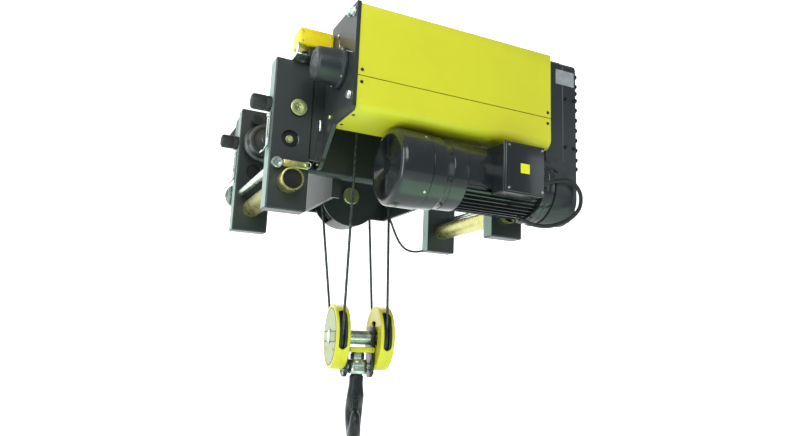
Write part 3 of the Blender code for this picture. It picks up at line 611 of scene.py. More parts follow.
def sweep(shape, path, radius, sides=14, closed=False):
    """A round bar along a path; radius may be a function of the share of the way along."""
    count = len(path)
    rows = []
    side = None
    for i, here in enumerate(path):
        before = path[i - 1] if closed or i else path[0]
        after = path[(i + 1) % count] if closed else path[min(i + 1, count - 1)]
        ahead = (after - before).normalized()
        if side is None:
            side = ahead.orthogonal().normalized()
        side = (side - ahead * side.dot(ahead)).normalized()
        other = ahead.cross(side)
        wide = radius(i / max(count - 1, 1)) if callable(radius) else radius
        row = []
        for k in range(sides):
            angle = 2 * math.pi * k / sides
            spot = here + side * (wide * math.cos(angle)) + other * (wide * math.sin(angle))
            row.append(shape.verts.new(spot))
        rows.append(row)
    skinned(shape, list(zip(rows, rows[1:])) + ([(rows[-1], rows[0])] if closed else []))
    if not closed:
        shape.faces.new(rows[0])
        shape.faces.new(rows[-1])


# ------------------------------------------------------------------ Geometry Nodes


class Maker:
    """A Geometry Nodes tree being built, with named inputs for its sizes."""

    KINDS = {
        "number": "NodeSocketFloat",
        "count": "NodeSocketInt",
        "thing": "NodeSocketObject",
        "finish": "NodeSocketMaterial",
        "vector": "NodeSocketVector",
    }

    def __init__(self, name, inputs):
        self.tree = bpy.data.node_groups.new(name, "GeometryNodeTree")
        face = self.tree.interface
        face.new_socket("Geometry", in_out="INPUT", socket_type="NodeSocketGeometry")
        self.keys = {}
        for key, kind in inputs.items():
            socket = face.new_socket(key, in_out="INPUT", socket_type=self.KINDS[kind])
            self.keys[key] = socket.identifier
        face.new_socket("Geometry", in_out="OUTPUT", socket_type="NodeSocketGeometry")
        self.enter = self.tree.nodes.new("NodeGroupInput")
        self.leave = self.tree.nodes.new("NodeGroupOutput")

    def given(self, key):
        return self.enter.outputs[key]

    def node(self, kind, settings=None, links=None):
        made = self.tree.nodes.new(kind)
        for key, value in (settings or {}).items():
            setattr(made, key, value)
        for key, value in (links or {}).items():
            if isinstance(value, bpy.types.NodeSocket):
                self.tree.links.new(value, made.inputs[key])
            else:
                made.inputs[key].default_value = value
        return made

    def sum(self, operation, first, second):
        return self.node("ShaderNodeMath", {"operation": operation}, {0: first, 1: second}).outputs[0]

    def close(self, geometry):
        real = self.node("GeometryNodeRealizeInstances", None, {0: geometry}).outputs[0]
        dressed = self.node(
            "GeometryNodeSetMaterial", None, {"Geometry": real, "Material": self.given("Finish")}
        )
        self.tree.links.new(dressed.outputs[0], self.leave.inputs[0])

    def make(self, name, start, values):
        """Runs the tree on an object and gives its plain mesh as a new object."""
        bpy.context.scene.collection.objects.link(start)
        change = start.modifiers.new("maker", "NODES")
        change.node_group = self.tree
        for key, value in values.items():
            change[self.keys[key]] = value
        graph = bpy.context.evaluated_depsgraph_get()
        mesh = bpy.data.meshes.new_from_object(start.evaluated_get(graph))
        bpy.data.objects.remove(start)
        mesh.name = name
        mesh.materials.clear()
        mesh.materials.append(values["Finish"])
        mesh.polygons.foreach_set("material_index", [0] * len(mesh.polygons))
        mesh.shade_smooth()
        mesh.set_sharp_from_angle(angle=math.radians(35))
        return bpy.data.objects.new(name, mesh)


def scatter_tree():
    """Puts a prototype on every point, with its Z along the point's facing."""
    m = Maker("scattered_fasteners", {"Prototype": "thing", "Size": "number", "Finish": "finish"})
    facing = m.node("GeometryNodeInputNamedAttribute", {"data_type": "FLOAT_VECTOR"}, {"Name": "facing"})
    turn = m.node(
        "FunctionNodeAlignRotationToVector", {"axis": "Z"}, {"Vector": facing.outputs[0]}
    )
    part = m.node("GeometryNodeObjectInfo", None, {"Object": m.given("Prototype"), "As Instance": True})
    put = m.node(
        "GeometryNodeInstanceOnPoints",
        None,
        {
            "Points": m.given("Geometry"),
            "Instance": part.outputs["Geometry"],
            "Rotation": turn.outputs[0],
            "Scale": m.given("Size"),
        },
    )
    m.close(put.outputs[0])
    return m


def circle_tree():
    """Stands copies of a prototype round the Z axis, each turned with its place."""
    m = Maker(
        "round_the_axis", {"Prototype": "thing", "Count": "count", "Radius": "number", "Finish": "finish"}
    )
    ring = m.node(
        "GeometryNodeMeshCircle", None, {"Vertices": m.given("Count"), "Radius": m.given("Radius")}
    )
    index = m.node("GeometryNodeInputIndex").outputs[0]
    share = m.sum("DIVIDE", index, m.given("Count"))
    angle = m.sum("MULTIPLY", share, 2 * math.pi)
    turn = m.node("ShaderNodeCombineXYZ", None, {"Z": angle})
    part = m.node("GeometryNodeObjectInfo", None, {"Object": m.given("Prototype"), "As Instance": True})
    put = m.node(
        "GeometryNodeInstanceOnPoints",
        None,
        {"Points": ring.outputs[0], "Instance": part.outputs["Geometry"], "Rotation": turn.outputs[0]},
    )
    m.close(put.outputs[0])
    return m


def strand_tree():
    """A laid wire rope along a curve: six strands, turned along the rope."""
    m = Maker(
        "laid_rope", {"Radius": "number", "Lay": "number", "Step": "number", "Finish": "finish"}
    )
    line = m.node(
        "GeometryNodeResampleCurve", {"mode": "LENGTH"}, {
            "Curve": m.given("Geometry"), "Length": m.given("Step"),
        }
    )
    along = m.node("GeometryNodeSplineParameter").outputs["Length"]
    tilt = m.sum("MULTIPLY", m.sum("DIVIDE", along, m.given("Lay")), 2 * math.pi)
    laid = m.node("GeometryNodeSetCurveTilt", None, {"Curve": line.outputs[0], "Tilt": tilt})
    ring = m.node(
        "GeometryNodeCurvePrimitiveCircle", None, {"Resolution": 36, "Radius": m.given("Radius")}
    )
    share = m.node("GeometryNodeSplineParameter").outputs["Factor"]
    wave = m.node("ShaderNodeMath", {"operation": "COSINE"}, {0: m.sum("MULTIPLY", share, 12 * math.pi)})
    swell = m.sum("ADD", m.sum("MULTIPLY", m.sum("ABSOLUTE", wave.outputs[0], 0.0), 0.16), 0.86)
    place = m.node("GeometryNodeInputPosition").outputs[0]
    moved = m.node("ShaderNodeVectorMath", {"operation": "SCALE"}, {0: place, "Scale": swell})
    lobes = m.node("GeometryNodeSetPosition", None, {0: ring.outputs[0], "Position": moved.outputs[0]})
    skin = m.node(
        "GeometryNodeCurveToMesh",
        None,
        {"Curve": laid.outputs[0], "Profile Curve": lobes.outputs[0], "Fill Caps": True},
    )
    m.close(skin.outputs[0])
    return m


def winding_tree():
    """Rope wound on a drum: a spiral along Z, swept with a round section."""
    m = Maker(
        "wound_turns",
        {"Turns": "number", "Radius": "number", "Width": "number", "Rope": "number", "Finish": "finish"},
    )
    spiral = m.node(
        "GeometryNodeCurveSpiral",
        None,
        {
            "Resolution": 44,
            "Rotations": m.given("Turns"),
            "Start Radius": m.given("Radius"),
            "End Radius": m.given("Radius"),
            "Height": m.given("Width"),
        },
    )
    ring = m.node("GeometryNodeCurvePrimitiveCircle", None, {"Resolution": 10, "Radius": m.given("Rope")})
    skin = m.node(
        "GeometryNodeCurveToMesh",
        None,
        {"Curve": spiral.outputs[0], "Profile Curve": ring.outputs[0], "Fill Caps": True},
    )
    m.close(skin.outputs[0])
    return m


SCATTER = scatter_tree()
ROUND = circle_tree()
STRAND = strand_tree()
WINDING = winding_tree()


PATTERNS = []


def prototype(name, build):
    """A small part at the origin, for a tree to copy. It goes once the pieces are made."""
    shape = bmesh.new()
    build(shape)
    bmesh.ops.remove_doubles(shape, verts=shape.verts, dist=0.000002)
    bmesh.ops.recalc_face_normals(shape, faces=shape.faces)
    mesh = bpy.data.meshes.new(name)
    shape.to_mesh(mesh)
    shape.free()
    thing = bpy.data.objects.new(name, mesh)
    bpy.context.scene.collection.objects.link(thing)
    PATTERNS.append(thing)
    return thing


def facing(ahead, places):
    """Fastener spots that all face one way."""
    return [(Vector(place), Vector(ahead)) for place in places]


def spots_round_x(x, middle, radius, turns, ahead=None):
    """Fastener spots round an axis along X, facing ahead, or outwards where it isn't given."""
    spots = []
    for turn in turns:
        out = Vector((0, math.cos(math.radians(turn)), math.sin(math.radians(turn))))
        spots.append((Vector((x, middle.y, middle.z)) + out * radius, Vector(ahead) if ahead else out))
    return spots


def scattered(name, part, spots, finish, body, size=1.0):
    """Copies of a prototype at (place, facing) pairs, as one piece on one body."""
    mesh = bpy.data.meshes.new(name + "_places")
    mesh.from_pydata([tuple(spot) for spot, _ in spots], [], [])
    facing = mesh.attributes.new("facing", "FLOAT_VECTOR", "POINT")
    for slot, (_, ahead) in zip(facing.data, spots):
        slot.vector = ahead
    start = bpy.data.objects.new(name + "_places", mesh)
    made = SCATTER.make(name, start, {"Prototype": part, "Size": size, "Finish": finish})
    return settled(made, body)


def round_axis(name, part, count, place, finish, body):
    """Copies of a prototype round the Z of place, as one piece."""
    start = bpy.data.objects.new(name + "_start", bpy.data.meshes.new(name + "_start"))
    values = {"Prototype": part, "Count": count, "Radius": 0.000001, "Finish": finish}
    made = ROUND.make(name, start, values)
    made.data.transform(place)
    if place.to_3x3().determinant() < 0:
        made.data.flip_normals()
    return settled(made, body)


def laid_rope(name, path, radius, finish, body, stands_for=()):
    curve = bpy.data.curves.new(name + "_line", "CURVE")
    curve.dimensions = "3D"
    line = curve.splines.new("POLY")
    line.points.add(len(path) - 1)
    for point, spot in zip(line.points, path):
        point.co = (*spot, 1.0)
    start = bpy.data.objects.new(name + "_line", curve)
    values = {"Radius": radius, "Lay": radius * 13, "Step": 0.0024, "Finish": finish}
    return settled(STRAND.make(name, start, values), body, stands_for)


def hex_bolt(shape, wide=0.0115, tall=0.008, washer=0.0125):
    """A hexagon head with a chamfered top, on a washer."""
    place = Matrix.Identity(4)
    revolve(shape, eased([(0.0, 0.0), (0.0, washer), (0.0018, washer), (0.0018, 0.0)], 0.0006), place, 28)
    rim = wide * 0.90
    rows = []
    for along, radius in ((0.0016, wide), (tall * 0.80, wide), (tall, rim)):
        row = []
        for k in range(6):
            angle = math.radians(60 * k)
            row.append(shape.verts.new((radius * math.cos(angle), radius * math.sin(angle), along)))
        rows.append(row)
    skinned(shape, zip(rows, rows[1:]))
    shape.faces.new(rows[0])
    shape.faces.new(rows[-1])
    revolve(
        shape,
        [
            (tall - 0.0004, 0.0), (tall - 0.0004, rim * 0.72), (tall + 0.0004, rim * 0.62),
            (tall + 0.0004, 0.0),
        ],
        place, 20,
    )


def socket_screw(shape, radius=0.0055, tall=0.005):
    """A cap screw with a hexagon socket."""
    place = Matrix.Identity(4)
    deep = tall * 0.45
    line = [
        (0.0, 0.0), (0.0, radius), (tall, radius), (tall, radius * 0.56), (deep, radius * 0.52),
        (deep, 0.0),
    ]
    revolve(shape, eased(line, 0.0005, 2), place, 24)


def button_screw(shape, radius=0.0045):
    """A low round head with a small recess."""
    line = [(0.0, 0.0), (0.0, radius)]
    line += [(radius * 0.5 * math.sin(a), radius * math.cos(a)) for a in (0.3, 0.6, 0.9, 1.15)]
    line += [(radius * 0.30, radius * 0.30), (radius * 0.30, 0.0)]
    revolve(shape, line, Matrix.Identity(4), 20)


BOLT = prototype("bolt_pattern", hex_bolt)
CAP_SCREW = prototype("cap_screw_pattern", socket_screw)
BUTTON = prototype("button_screw_pattern", button_screw)

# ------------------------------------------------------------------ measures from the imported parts

COVER_LOW, COVER_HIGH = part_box("drum_cover")
DRUM = middle_of("rope_drum")
MOTOR = middle_of("motor_housing")
BLOCK = middle_of("block_axle")
BLOCK_TURN = math.radians(-8.0)
HOOK_TURN = math.radians(-19.0)
BLOCK_FRAME = Matrix.Translation(BLOCK) @ Matrix.Rotation(BLOCK_TURN, 4, "Z")
HOOK_FRAME = Matrix.Translation(BLOCK) @ Matrix.Rotation(HOOK_TURN, 4, "Z")
TOP = middle_of("top_sheave")
ROPE_R = 0.0045
PITCH_R = 0.095
WOUND_R = 0.0895
ROPE_TURN_X = -0.200
SHEAVE_OFFSET = 0.0785
CROSS_Z = -0.1015
HOOK_SEAT_R = 0.0315
HOOK_SEAT_Z = -0.272
WHEEL_R = 0.0625
GUIDE_X, GUIDE_Z = 0.412, -0.042
TUBE_X, TUBE_Z = 0.410, -0.183
ROD_X, ROD_Z = 0.451, -0.128
BUFFER_Z = 0.068
SHEET = 0.0025


def sheet(shape, path, thick, low, high, ease=0.0006):
    """A folded sheet: a flat line of points given a thickness, along X from low to high."""
    line = [Vector(p) for p in path]
    inside = []
    for i, here in enumerate(line):
        before = line[max(i - 1, 0)]
        after = line[min(i + 1, len(line) - 1)]
        ahead = (after - before).normalized()
        inside.append(here + Vector((-ahead.y, ahead.x)) * thick)
    outline = [tuple(p) for p in line] + [tuple(p) for p in reversed(inside)]
    plate(shape, outline, on_axis("X", (0, 0, 0)), low, high, ease, 1)


def make_cover():
    """The drum's sheet cover: an upper and a lower panel that meet at a seam."""
    near, low, top = COVER_LOW.y, COVER_LOW.z, COVER_HIGH.z
    far = COVER_HIGH.y
    seam = low + 0.107
    x0, x1 = COVER_LOW.x, COVER_HIGH.x
    shape = bmesh.new()
    path = [(far, top), (near + 0.03, top)]
    path += arc((near + 0.006, top - 0.006), 0.006, 90, 180, 6)
    path += [(near, top - 0.05), (near, seam + 0.0014)]
    sheet(shape, path, SHEET, x0, x1)
    finished("drum_cover_upper", shape, COVER_YELLOW, "trolley_frame", ("drum_cover",))
    shape = bmesh.new()
    path = [(near, seam - 0.0014), (near, low + 0.034)]
    path += arc((near + 0.033, low + 0.033), 0.033, 182, 270, 16)
    path += [(far - 0.0125 - 0.02, low), (far - 0.0125, low)]
    sheet(shape, path, SHEET, x0, x1)
    finished("drum_cover_lower", shape, COVER_YELLOW, "trolley_frame", ("drum_cover",))
    shape = bmesh.new()
    block(
        shape, (x0 + 0.002, near + 0.0028, seam - 0.014), (x1 - 0.002, near + 0.0046, seam + 0.014),
        0.0005, 1,
    )
    finished("cover_seam_strip", shape, BLACK_PAINT, "trolley_frame")
    ends = (x0 + 0.013, x1 - 0.013)
    spots = facing((0, -1, 0), [(x, near, z) for x in ends for z in (seam + 0.018, seam - 0.020)])
    spots += facing(
        (0, 0, -1), [(x, y, low) for y in (near + 0.05, far - 0.06) for x in (x0 + 0.012, x1 - 0.012)]
    )
    spots += facing((0, 0, 1), [(x, far - 0.02, top) for x in (ends[0], (x0 + x1) / 2, ends[1])])
    scattered("cover_screws", BUTTON, spots, BLACK_PAINT, "trolley_frame", 1.25)


def make_motor():
    y, z = MOTOR.y, MOTOR.z
    low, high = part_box("motor_housing")
    place = on_axis("X", (0, y, z))
    bore = 0.0197
    line = [
        (low.x, bore), (low.x, 0.112), (low.x + 0.003, 0.119), (0.0080, 0.119), (0.0140, 0.114),
        (0.0300, 0.1125), (0.0330, 0.1105), (0.0360, 0.1125), (0.0860, 0.1120), (0.0900, 0.0970),
        (0.3640, 0.0970), (0.3690, 0.1180), (0.3860, 0.1180), (0.3880, 0.1160), (0.3900, 0.1180),
        (high.x, 0.1180), (high.x, bore),
    ]
    turned(
        "motor_body", eased(line, 0.0016, 3), place, 96, MOTOR_PAINT, "trolley_frame",
        ("motor_housing",), 40, closed=True,
    )

    def fin(made):
        line = [(-0.0016, -0.001), (-0.0013, 0.0105), (0.0013, 0.0105), (0.0016, -0.001)]
        turn = Matrix(((0, 1, 0, 0.0975), (1, 0, 0, 0), (0, 0, 1, 0), (0, 0, 0, 1)))
        plate(made, line, turn, 0.0885, 0.3660, 0.0010, 2)

    round_axis("motor_fins", prototype("fin_pattern", fin), 44, place, MOTOR_PAINT, "trolley_frame")
    shape = bmesh.new()
    jacket = arc((0, 0), 0.1092, -22, 203, 90) + arc((0, 0), 0.0968, 203, -22, 90)
    plate(shape, jacket, place, 0.0880, 0.3655, 0.0035, 3)
    finished("motor_jacket", shape, MOTOR_PAINT, "trolley_frame")
    low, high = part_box("motor_fan_cover")
    x0, x1, rim = low.x, high.x, (high.y - low.y) / 2
    line = [
        (x0 + 0.0040, 0.0985), (x0 + 0.0008, 0.0990), (x0, 0.1010), (x0 + 0.0016, 0.1080),
        (x0 + 0.0060, 0.1155), (x0 + 0.0130, 0.1205), (x0 + 0.0180, rim), (x1, rim),
        (x1, rim - 0.0022), (x0 + 0.0190, rim - 0.0022), (x0 + 0.0080, 0.1140), (x0 + 0.0040, 0.1060),
    ]
    shape = bmesh.new()
    revolve(shape, line, place, 96, closed=True)
    for k in range(11):
        radius = 0.026 + 0.0068 * k
        ring = [Vector((x0 + 0.0030, y + a, z + b)) for a, b in arc((0, 0), radius, 0, 352.5, 47)]
        sweep(shape, ring, 0.0013, 6, closed=True)
    for k in range(6):
        turn = math.radians(60 * k + 30)
        out = Vector((0, math.cos(turn), math.sin(turn)))
        start = Vector((x0 + 0.0046, y, z))
        sweep(shape, [start + out * 0.012, start + out * 0.060, start + out * 0.1015], 0.0015, 8)
    revolve(
        shape, [(x0 + 0.002, 0.0), (x0 + 0.002, 0.022), (x0 + 0.0065, 0.022), (x0 + 0.0065, 0.0)],
        place, 32,
    )
    finished("motor_fan_cover_shell", shape, MOTOR_PAINT, "trolley_frame", ("motor_fan_cover",))
    spots = spots_round_x(x1 - 0.012, MOTOR, rim, range(45, 360, 90))
    scattered("fan_cover_screws", BUTTON, spots, BRIGHT_ZINC, "trolley_frame", 1.0)
    turns = [45 * k + 22.5 for k in range(8)]
    spots = spots_round_x(0.3705, MOTOR, 0.1125, turns, (-1, 0, 0))
    scattered("motor_bolts", CAP_SCREW, spots, BLACK_PAINT, "trolley_frame", 0.8)
    spots = spots_round_x(0.0265, MOTOR, 0.1120, turns)
    scattered("brake_ring_screws", CAP_SCREW, spots, BLACK_PAINT, "trolley_frame", 0.8)


def make_terminal_box():
    low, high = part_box("terminal_box_lid")
    shape = bmesh.new()
    block(shape, (low.x, high.y - 0.0055, low.z), (high.x, high.y, high.z), 0.0022, 3)
    block(
        shape, (low.x + 0.004, low.y, low.z + 0.004), (high.x - 0.004, high.y - 0.0030, high.z - 0.004),
        0.0030, 4,
    )
    finished("terminal_lid", shape, MOTOR_PAINT, "trolley_frame", ("terminal_box_lid",))
    low_box, high_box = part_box("terminal_box")
    shape = bmesh.new()
    block(
        shape, (low_box.x + 0.001, high.y - 0.0003, low_box.z + 0.001),
        (high_box.x - 0.001, high.y + 0.0006, high_box.z - 0.001), 0.0003, 1,
    )
    finished("terminal_seal", shape, BUFFER_RUBBER, "trolley_frame")
    inset = 0.014
    corners = [
        (x, low.y, z)
        for x in (low.x + inset, high.x - inset)
        for z in (low.z + inset, high.z - inset)
    ]
    spots = facing((0, -1, 0), corners)
    scattered("terminal_screws", CAP_SCREW, spots, BRIGHT_ZINC, "trolley_frame", 0.75)
    x, z = (low.x + high.x) / 2 - 0.001, (low.z + high.z) / 2
    shape = bmesh.new()
    outline = rounded((x - 0.017, z - 0.0155), (x + 0.017, z + 0.0155), 0.0015)
    plate(shape, outline, UPRIGHT["Y"], low.y - 0.0007, low.y + 0.0003, 0.0002, 1)
    finished("terminal_label", shape, STICKER, "trolley_frame")
    shape = bmesh.new()
    for y, z, wide in ((-0.530, -0.100, 0.008), (-0.545, -0.133, 0.0125)):
        gland(shape, (high_box.x - 0.0006, y, z), (1, 0, 0), wide)
    finished("terminal_glands", shape, BLACK_PLASTIC, "trolley_frame")


def gland(shape, spot, ahead, wide):
    """A cable gland: a hexagon, a thread collar and a domed nut."""
    place = aimed(spot, ahead)
    plate(shape, hexagon(wide * 1.15), place, 0.0, wide * 0.5, 0.0008, 1)
    line = [
        (wide * 0.45, 0.0), (wide * 0.45, wide * 0.95), (wide * 1.0, wide * 0.95),
        (wide * 1.35, wide * 0.85), (wide * 1.6, wide * 0.72), (wide * 1.6, 0.0),
    ]
    revolve(shape, eased(line, 0.0006, 2), place, 32)


def make_gearbox():
    low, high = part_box("gearbox_cover")
    heights = (0.300, 0.264, 0.238, 0.211, 0.175, 0.1375, 0.100, 0.064, 0.028, -0.008, -0.040)
    rows = (low.y + 0.0095, high.y - 0.0115)
    spots = facing((1, 0, 0), [(high.x, y, z) for z in heights for y in rows])
    foot = Vector((0, -0.3975, -0.146))
    spots += spots_round_x(high.x, foot, 0.076, (215, 245, 270, 295, 325), (1, 0, 0))
    scattered("gearbox_cover_bolts", BOLT, spots, BLACK_PAINT, "trolley_frame", 0.70)
    spots = facing((0, -1, 0), [(x, low.y, z) for x in (0.4990, 0.5370) for z in (0.030, 0.205)])
    scattered("gearbox_side_plugs", CAP_SCREW, spots, BLACK_PAINT, "trolley_frame", 1.1)
    shape = bmesh.new()
    plate(
        shape, rounded((0.4580, 0.2550), (0.5380, 0.3090), 0.003), UPRIGHT["Y"], low.y - 0.0010,
        low.y + 0.0004, 0.0003, 1,
    )
    finished("gearbox_blank_plate", shape, PLATE_FACE, "trolley_frame")
    corners = [(x, low.y - 0.0010, z) for x in (0.4625, 0.5335) for z in (0.2595, 0.3045)]
    spots = facing((0, -1, 0), corners)
    scattered("blank_plate_rivets", BUTTON, spots, BRIGHT_ZINC, "trolley_frame", 0.45)
    turned(
        "gearbox_breather",
        eased(
            [(0.0, 0.0), (0.0, 0.014), (0.004, 0.014), (0.004, 0.0105), (0.010, 0.0100), (0.010, 0.0)],
            0.0008, 2,
        ),
        aimed((0.452, -0.40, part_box("gearbox_housing")[1].z), (0, 0, 1)), 40, BLACK_PLASTIC,
        "trolley_frame",
    )


def make_drum():
    low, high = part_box("rope_drum")
    place = on_axis("X", (0, DRUM.y, DRUM.z))
    low_hub, high_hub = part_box("drum_bearing_housing")
    core = 0.0849
    x0, x1 = -0.270, 0.400
    line = [
        (low.x, 0.0), (low.x, 0.024), (x0, 0.024), (x0, 0.0960), (x0 + 0.008, 0.0960),
        (x0 + 0.008, core),
    ]
    grooves = 61
    start = x0 + 0.012
    pitch = (x1 - 0.016 - start) / grooves
    for k in range(grooves):
        for share, deep in ((0.0, 0.0), (0.25, 0.0016), (0.5, 0.0023), (0.75, 0.0016)):
            line.append((start + pitch * (k + share), core + 0.0008 - deep))
    line += [
        (x1 - 0.012, core), (x1 - 0.012, 0.0960), (x1, 0.0960), (x1, 0.030), (high.x, 0.030),
        (high.x, 0.0),
    ]
    turned("drum_barrel", line, place, 72, DRUM_STEEL, "drum", ("rope_drum",))
    wide = 0.388 - ROPE_TURN_X
    lead = 0.0102
    values = {
        "Turns": wide / lead, "Radius": WOUND_R, "Width": wide, "Rope": ROPE_R - 0.0001,
        "Finish": WOUND_ROPE,
    }
    begin = bpy.data.objects.new("winding_start", bpy.data.meshes.new("winding_start"))
    made = WINDING.make("drum_windings", begin, values)
    made.data.transform(
        on_axis("X", (ROPE_TURN_X, DRUM.y, DRUM.z)) @ Matrix.Rotation(math.radians(-74), 4, "Z")
    )
    settled(made, "drum")
    x0, x1 = low_hub.x, high_hub.x
    line = [
        (x0 + 0.0020, 0.0), (x0 + 0.0020, 0.0300), (x0, 0.0320), (x0, 0.0440), (x0 + 0.0060, 0.0520),
        (x0 + 0.0500, 0.0555), (x1 - 0.0150, 0.0570), (x1 - 0.0116, 0.0660), (x1, 0.0660),
        (x1, 0.0247), (x0 + 0.0255, 0.0247), (x0 + 0.0255, 0.0),
    ]
    turned(
        "drum_bearing_cup", eased(line, 0.0016, 3), place, 80, GEAR_PAINT, "trolley_frame",
        ("drum_bearing_housing",), 40,
    )
    spots = spots_round_x(x1 - 0.0112, DRUM, 0.0615, range(45, 360, 90), (-1, 0, 0))
    scattered("bearing_cup_screws", CAP_SCREW, spots, BRIGHT_ZINC, "trolley_frame", 0.75)


def make_end_plate():
    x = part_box("drum_bearing_housing")[1].x
    left = (-1, 0, 0)
    big = facing(left, [(x, y, z) for y, z in ((-0.494, 0.314), (-0.456, 0.328), (-0.491, 0.051))])
    scattered("end_plate_bolts", BOLT, big, BRIGHT_ZINC, "trolley_frame", 1.15)
    small = facing(left, [(x, y, z) for y, z in ((-0.325, 0.031), (-0.232, -0.044), (-0.232, -0.098))])
    scattered("end_plate_small_bolts", BOLT, small, AXLE_ZINC, "trolley_frame", 0.6)
    turned(
        "end_plate_plug",
        eased([(0.0, 0.0), (0.0, 0.0060), (0.0025, 0.0055), (0.0030, 0.0)], 0.0008, 2),
        aimed((x, -0.363, 0.290), left), 28, PLATE_FACE, "trolley_frame",
    )
    shape = bmesh.new()
    front = x - 0.006
    rod = [Vector((front, -0.388, 0.262)), Vector((front, -0.393, 0.245)), Vector((front, -0.396, 0.230))]
    sweep(
        shape, smooth_path(rod + [Vector((front, -0.440, 0.209)), Vector((front, -0.508, 0.176))], 6),
        0.0016, 10,
    )
    finished("guide_wire", shape, BRIGHT_ZINC, "trolley_frame")


def make_limit_switch():
    low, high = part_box("limit_switch_box")
    base_low, base_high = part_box("limit_switch_base")
    shape = bmesh.new()
    block(shape, (low.x, low.y, low.z), (high.x, high.y, high.z - 0.008), 0.0055, 5)
    block(
        shape, (low.x + 0.0015, low.y + 0.0015, high.z - 0.0120),
        (high.x - 0.0015, high.y - 0.0015, high.z), 0.0045, 5,
    )
    finished("limit_switch_housing", shape, SWITCH_YELLOW, "trolley_frame", ("limit_switch_box",))
    shape = bmesh.new()
    gland(
        shape, Vector((base_low.x + 0.020, base_low.y, (base_low.z + base_high.z) / 2)),
        Vector((0, -1, 0)), 0.011,
    )
    revolve(
        shape, [(0.0, 0.0), (0.0, 0.0120), (0.0120, 0.0110), (0.0150, 0.0080), (0.0150, 0.0)],
        aimed((base_low.x, (low.y + high.y) / 2, 0.239), (-1, 0, 0)), 40,
    )
    finished("limit_switch_glands", shape, BLACK_PLASTIC, "trolley_frame")
    shape = bmesh.new()
    outline = [
        (low.y - 0.001, base_low.z), (high.y + 0.001, base_low.z),
        (high.y + 0.001, base_low.z + 0.0030), (low.y - 0.001, base_low.z + 0.0030),
    ]
    plate(shape, outline, on_axis("X", (0, 0, 0)), low.x - 0.004, base_low.x - 0.001, 0.0008, 2)
    block(
        shape, (low.x - 0.0040, low.y - 0.001, base_low.z + 0.001),
        (low.x - 0.0008, low.y + 0.024, low.z + 0.004), 0.0008, 2,
    )
    block(
        shape, (-0.3320, low.y - 0.0045, low.z - 0.022), (-0.3060, low.y - 0.0008, low.z + 0.006),
        0.0008, 2,
    )
    finished("limit_switch_brackets", shape, BRIGHT_ZINC, "trolley_frame")
    inset = Vector((0.012, 0.012, 0.0))
    tops = (low.x, low.y, high.z), (high.x, high.y, high.z)
    spots = facing((0, 0, 1), (Vector(tops[0]) + inset, Vector(tops[1]) - inset))
    ends = (low.x + 0.010, high.x - 0.010)
    spots += facing((0, -1, 0), [(x, low.y, z) for x in ends for z in (low.z + 0.012, low.z + 0.042)])
    scattered("limit_switch_screws", BUTTON, spots, BRIGHT_ZINC, "trolley_frame", 0.7)


def make_wheels():
    for word in ("near_left", "near_right", "far_left", "far_right"):
        node = word + "_wheel"
        low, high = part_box(node)
        x = (low.x + high.x) / 2
        far = word.startswith("far")
        tread, flange, axle = WHEEL_R, 0.0720, 0.0245
        line = [
            (0.1230, 0.0), (0.1230, 0.0150), (0.1250, 0.0170), (0.1250, 0.0440), (0.1232, 0.0480),
            (0.1230, tread - 0.002), (0.1250, tread), (0.1650, tread), (0.1700, flange - 0.001),
            (0.1720, flange), (0.1790, flange), (0.1810, flange - 0.002), (0.1810, 0.0600),
            (0.1780, 0.0560), (0.1780, 0.0380), (0.1810, 0.0320),
        ]
        if far:
            line += [
                (0.2070, 0.0280), (0.2070, axle), (0.2425, axle), (0.2440, axle - 0.0015),
                (0.2440, 0.0),
            ]
        else:
            line += [
                (0.2070, 0.0280), (0.2570, 0.0280), (0.2570, axle), (0.2772, axle),
                (0.2790, axle - 0.0018),
            ]
            line += [(0.2790, 0.0060), (0.2765, 0.0045), (0.2765, 0.0)]
        if not far:
            line = [(-along, radius) for along, radius in line]
        turned(
            word + "_wheel_turned", eased(line, 0.0009, 2), on_axis("Y", (x, 0, WHEEL_R)), 80,
            WHEEL_STEEL, word + "_roller", (node,), 38,
        )


def make_axle_caps():
    """The plated axle ends that show in the near cheeks."""
    for word in ("near_left", "near_right"):
        low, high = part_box(word + "_wheel")
        x = (low.x + high.x) / 2
        shape = bmesh.new()
        line = [
            (low.y + 0.0020, 0.0), (low.y + 0.0020, 0.0272), (low.y - 0.0006, 0.0272),
            (low.y - 0.0020, 0.0256),
        ]
        line += [
            (low.y - 0.0020, 0.0120), (low.y - 0.0008, 0.0108), (low.y - 0.0008, 0.0040),
            (low.y + 0.0006, 0.0026), (low.y + 0.0006, 0.0),
        ]
        revolve(shape, eased(line, 0.0005, 2), on_axis("Y", (x, 0, WHEEL_R)), 64)
        for k in range(3):
            turn = math.radians(120 * k + 20)
            a, b, half = x + 0.008 * math.cos(turn), WHEEL_R + 0.008 * math.sin(turn), 0.0018
            block(shape, (a - half, low.y - 0.0022, b - half), (a + half, low.y, b + half), 0.0005, 1)
        finished(word + "_axle_end", shape, AXLE_ZINC, word + "_roller")


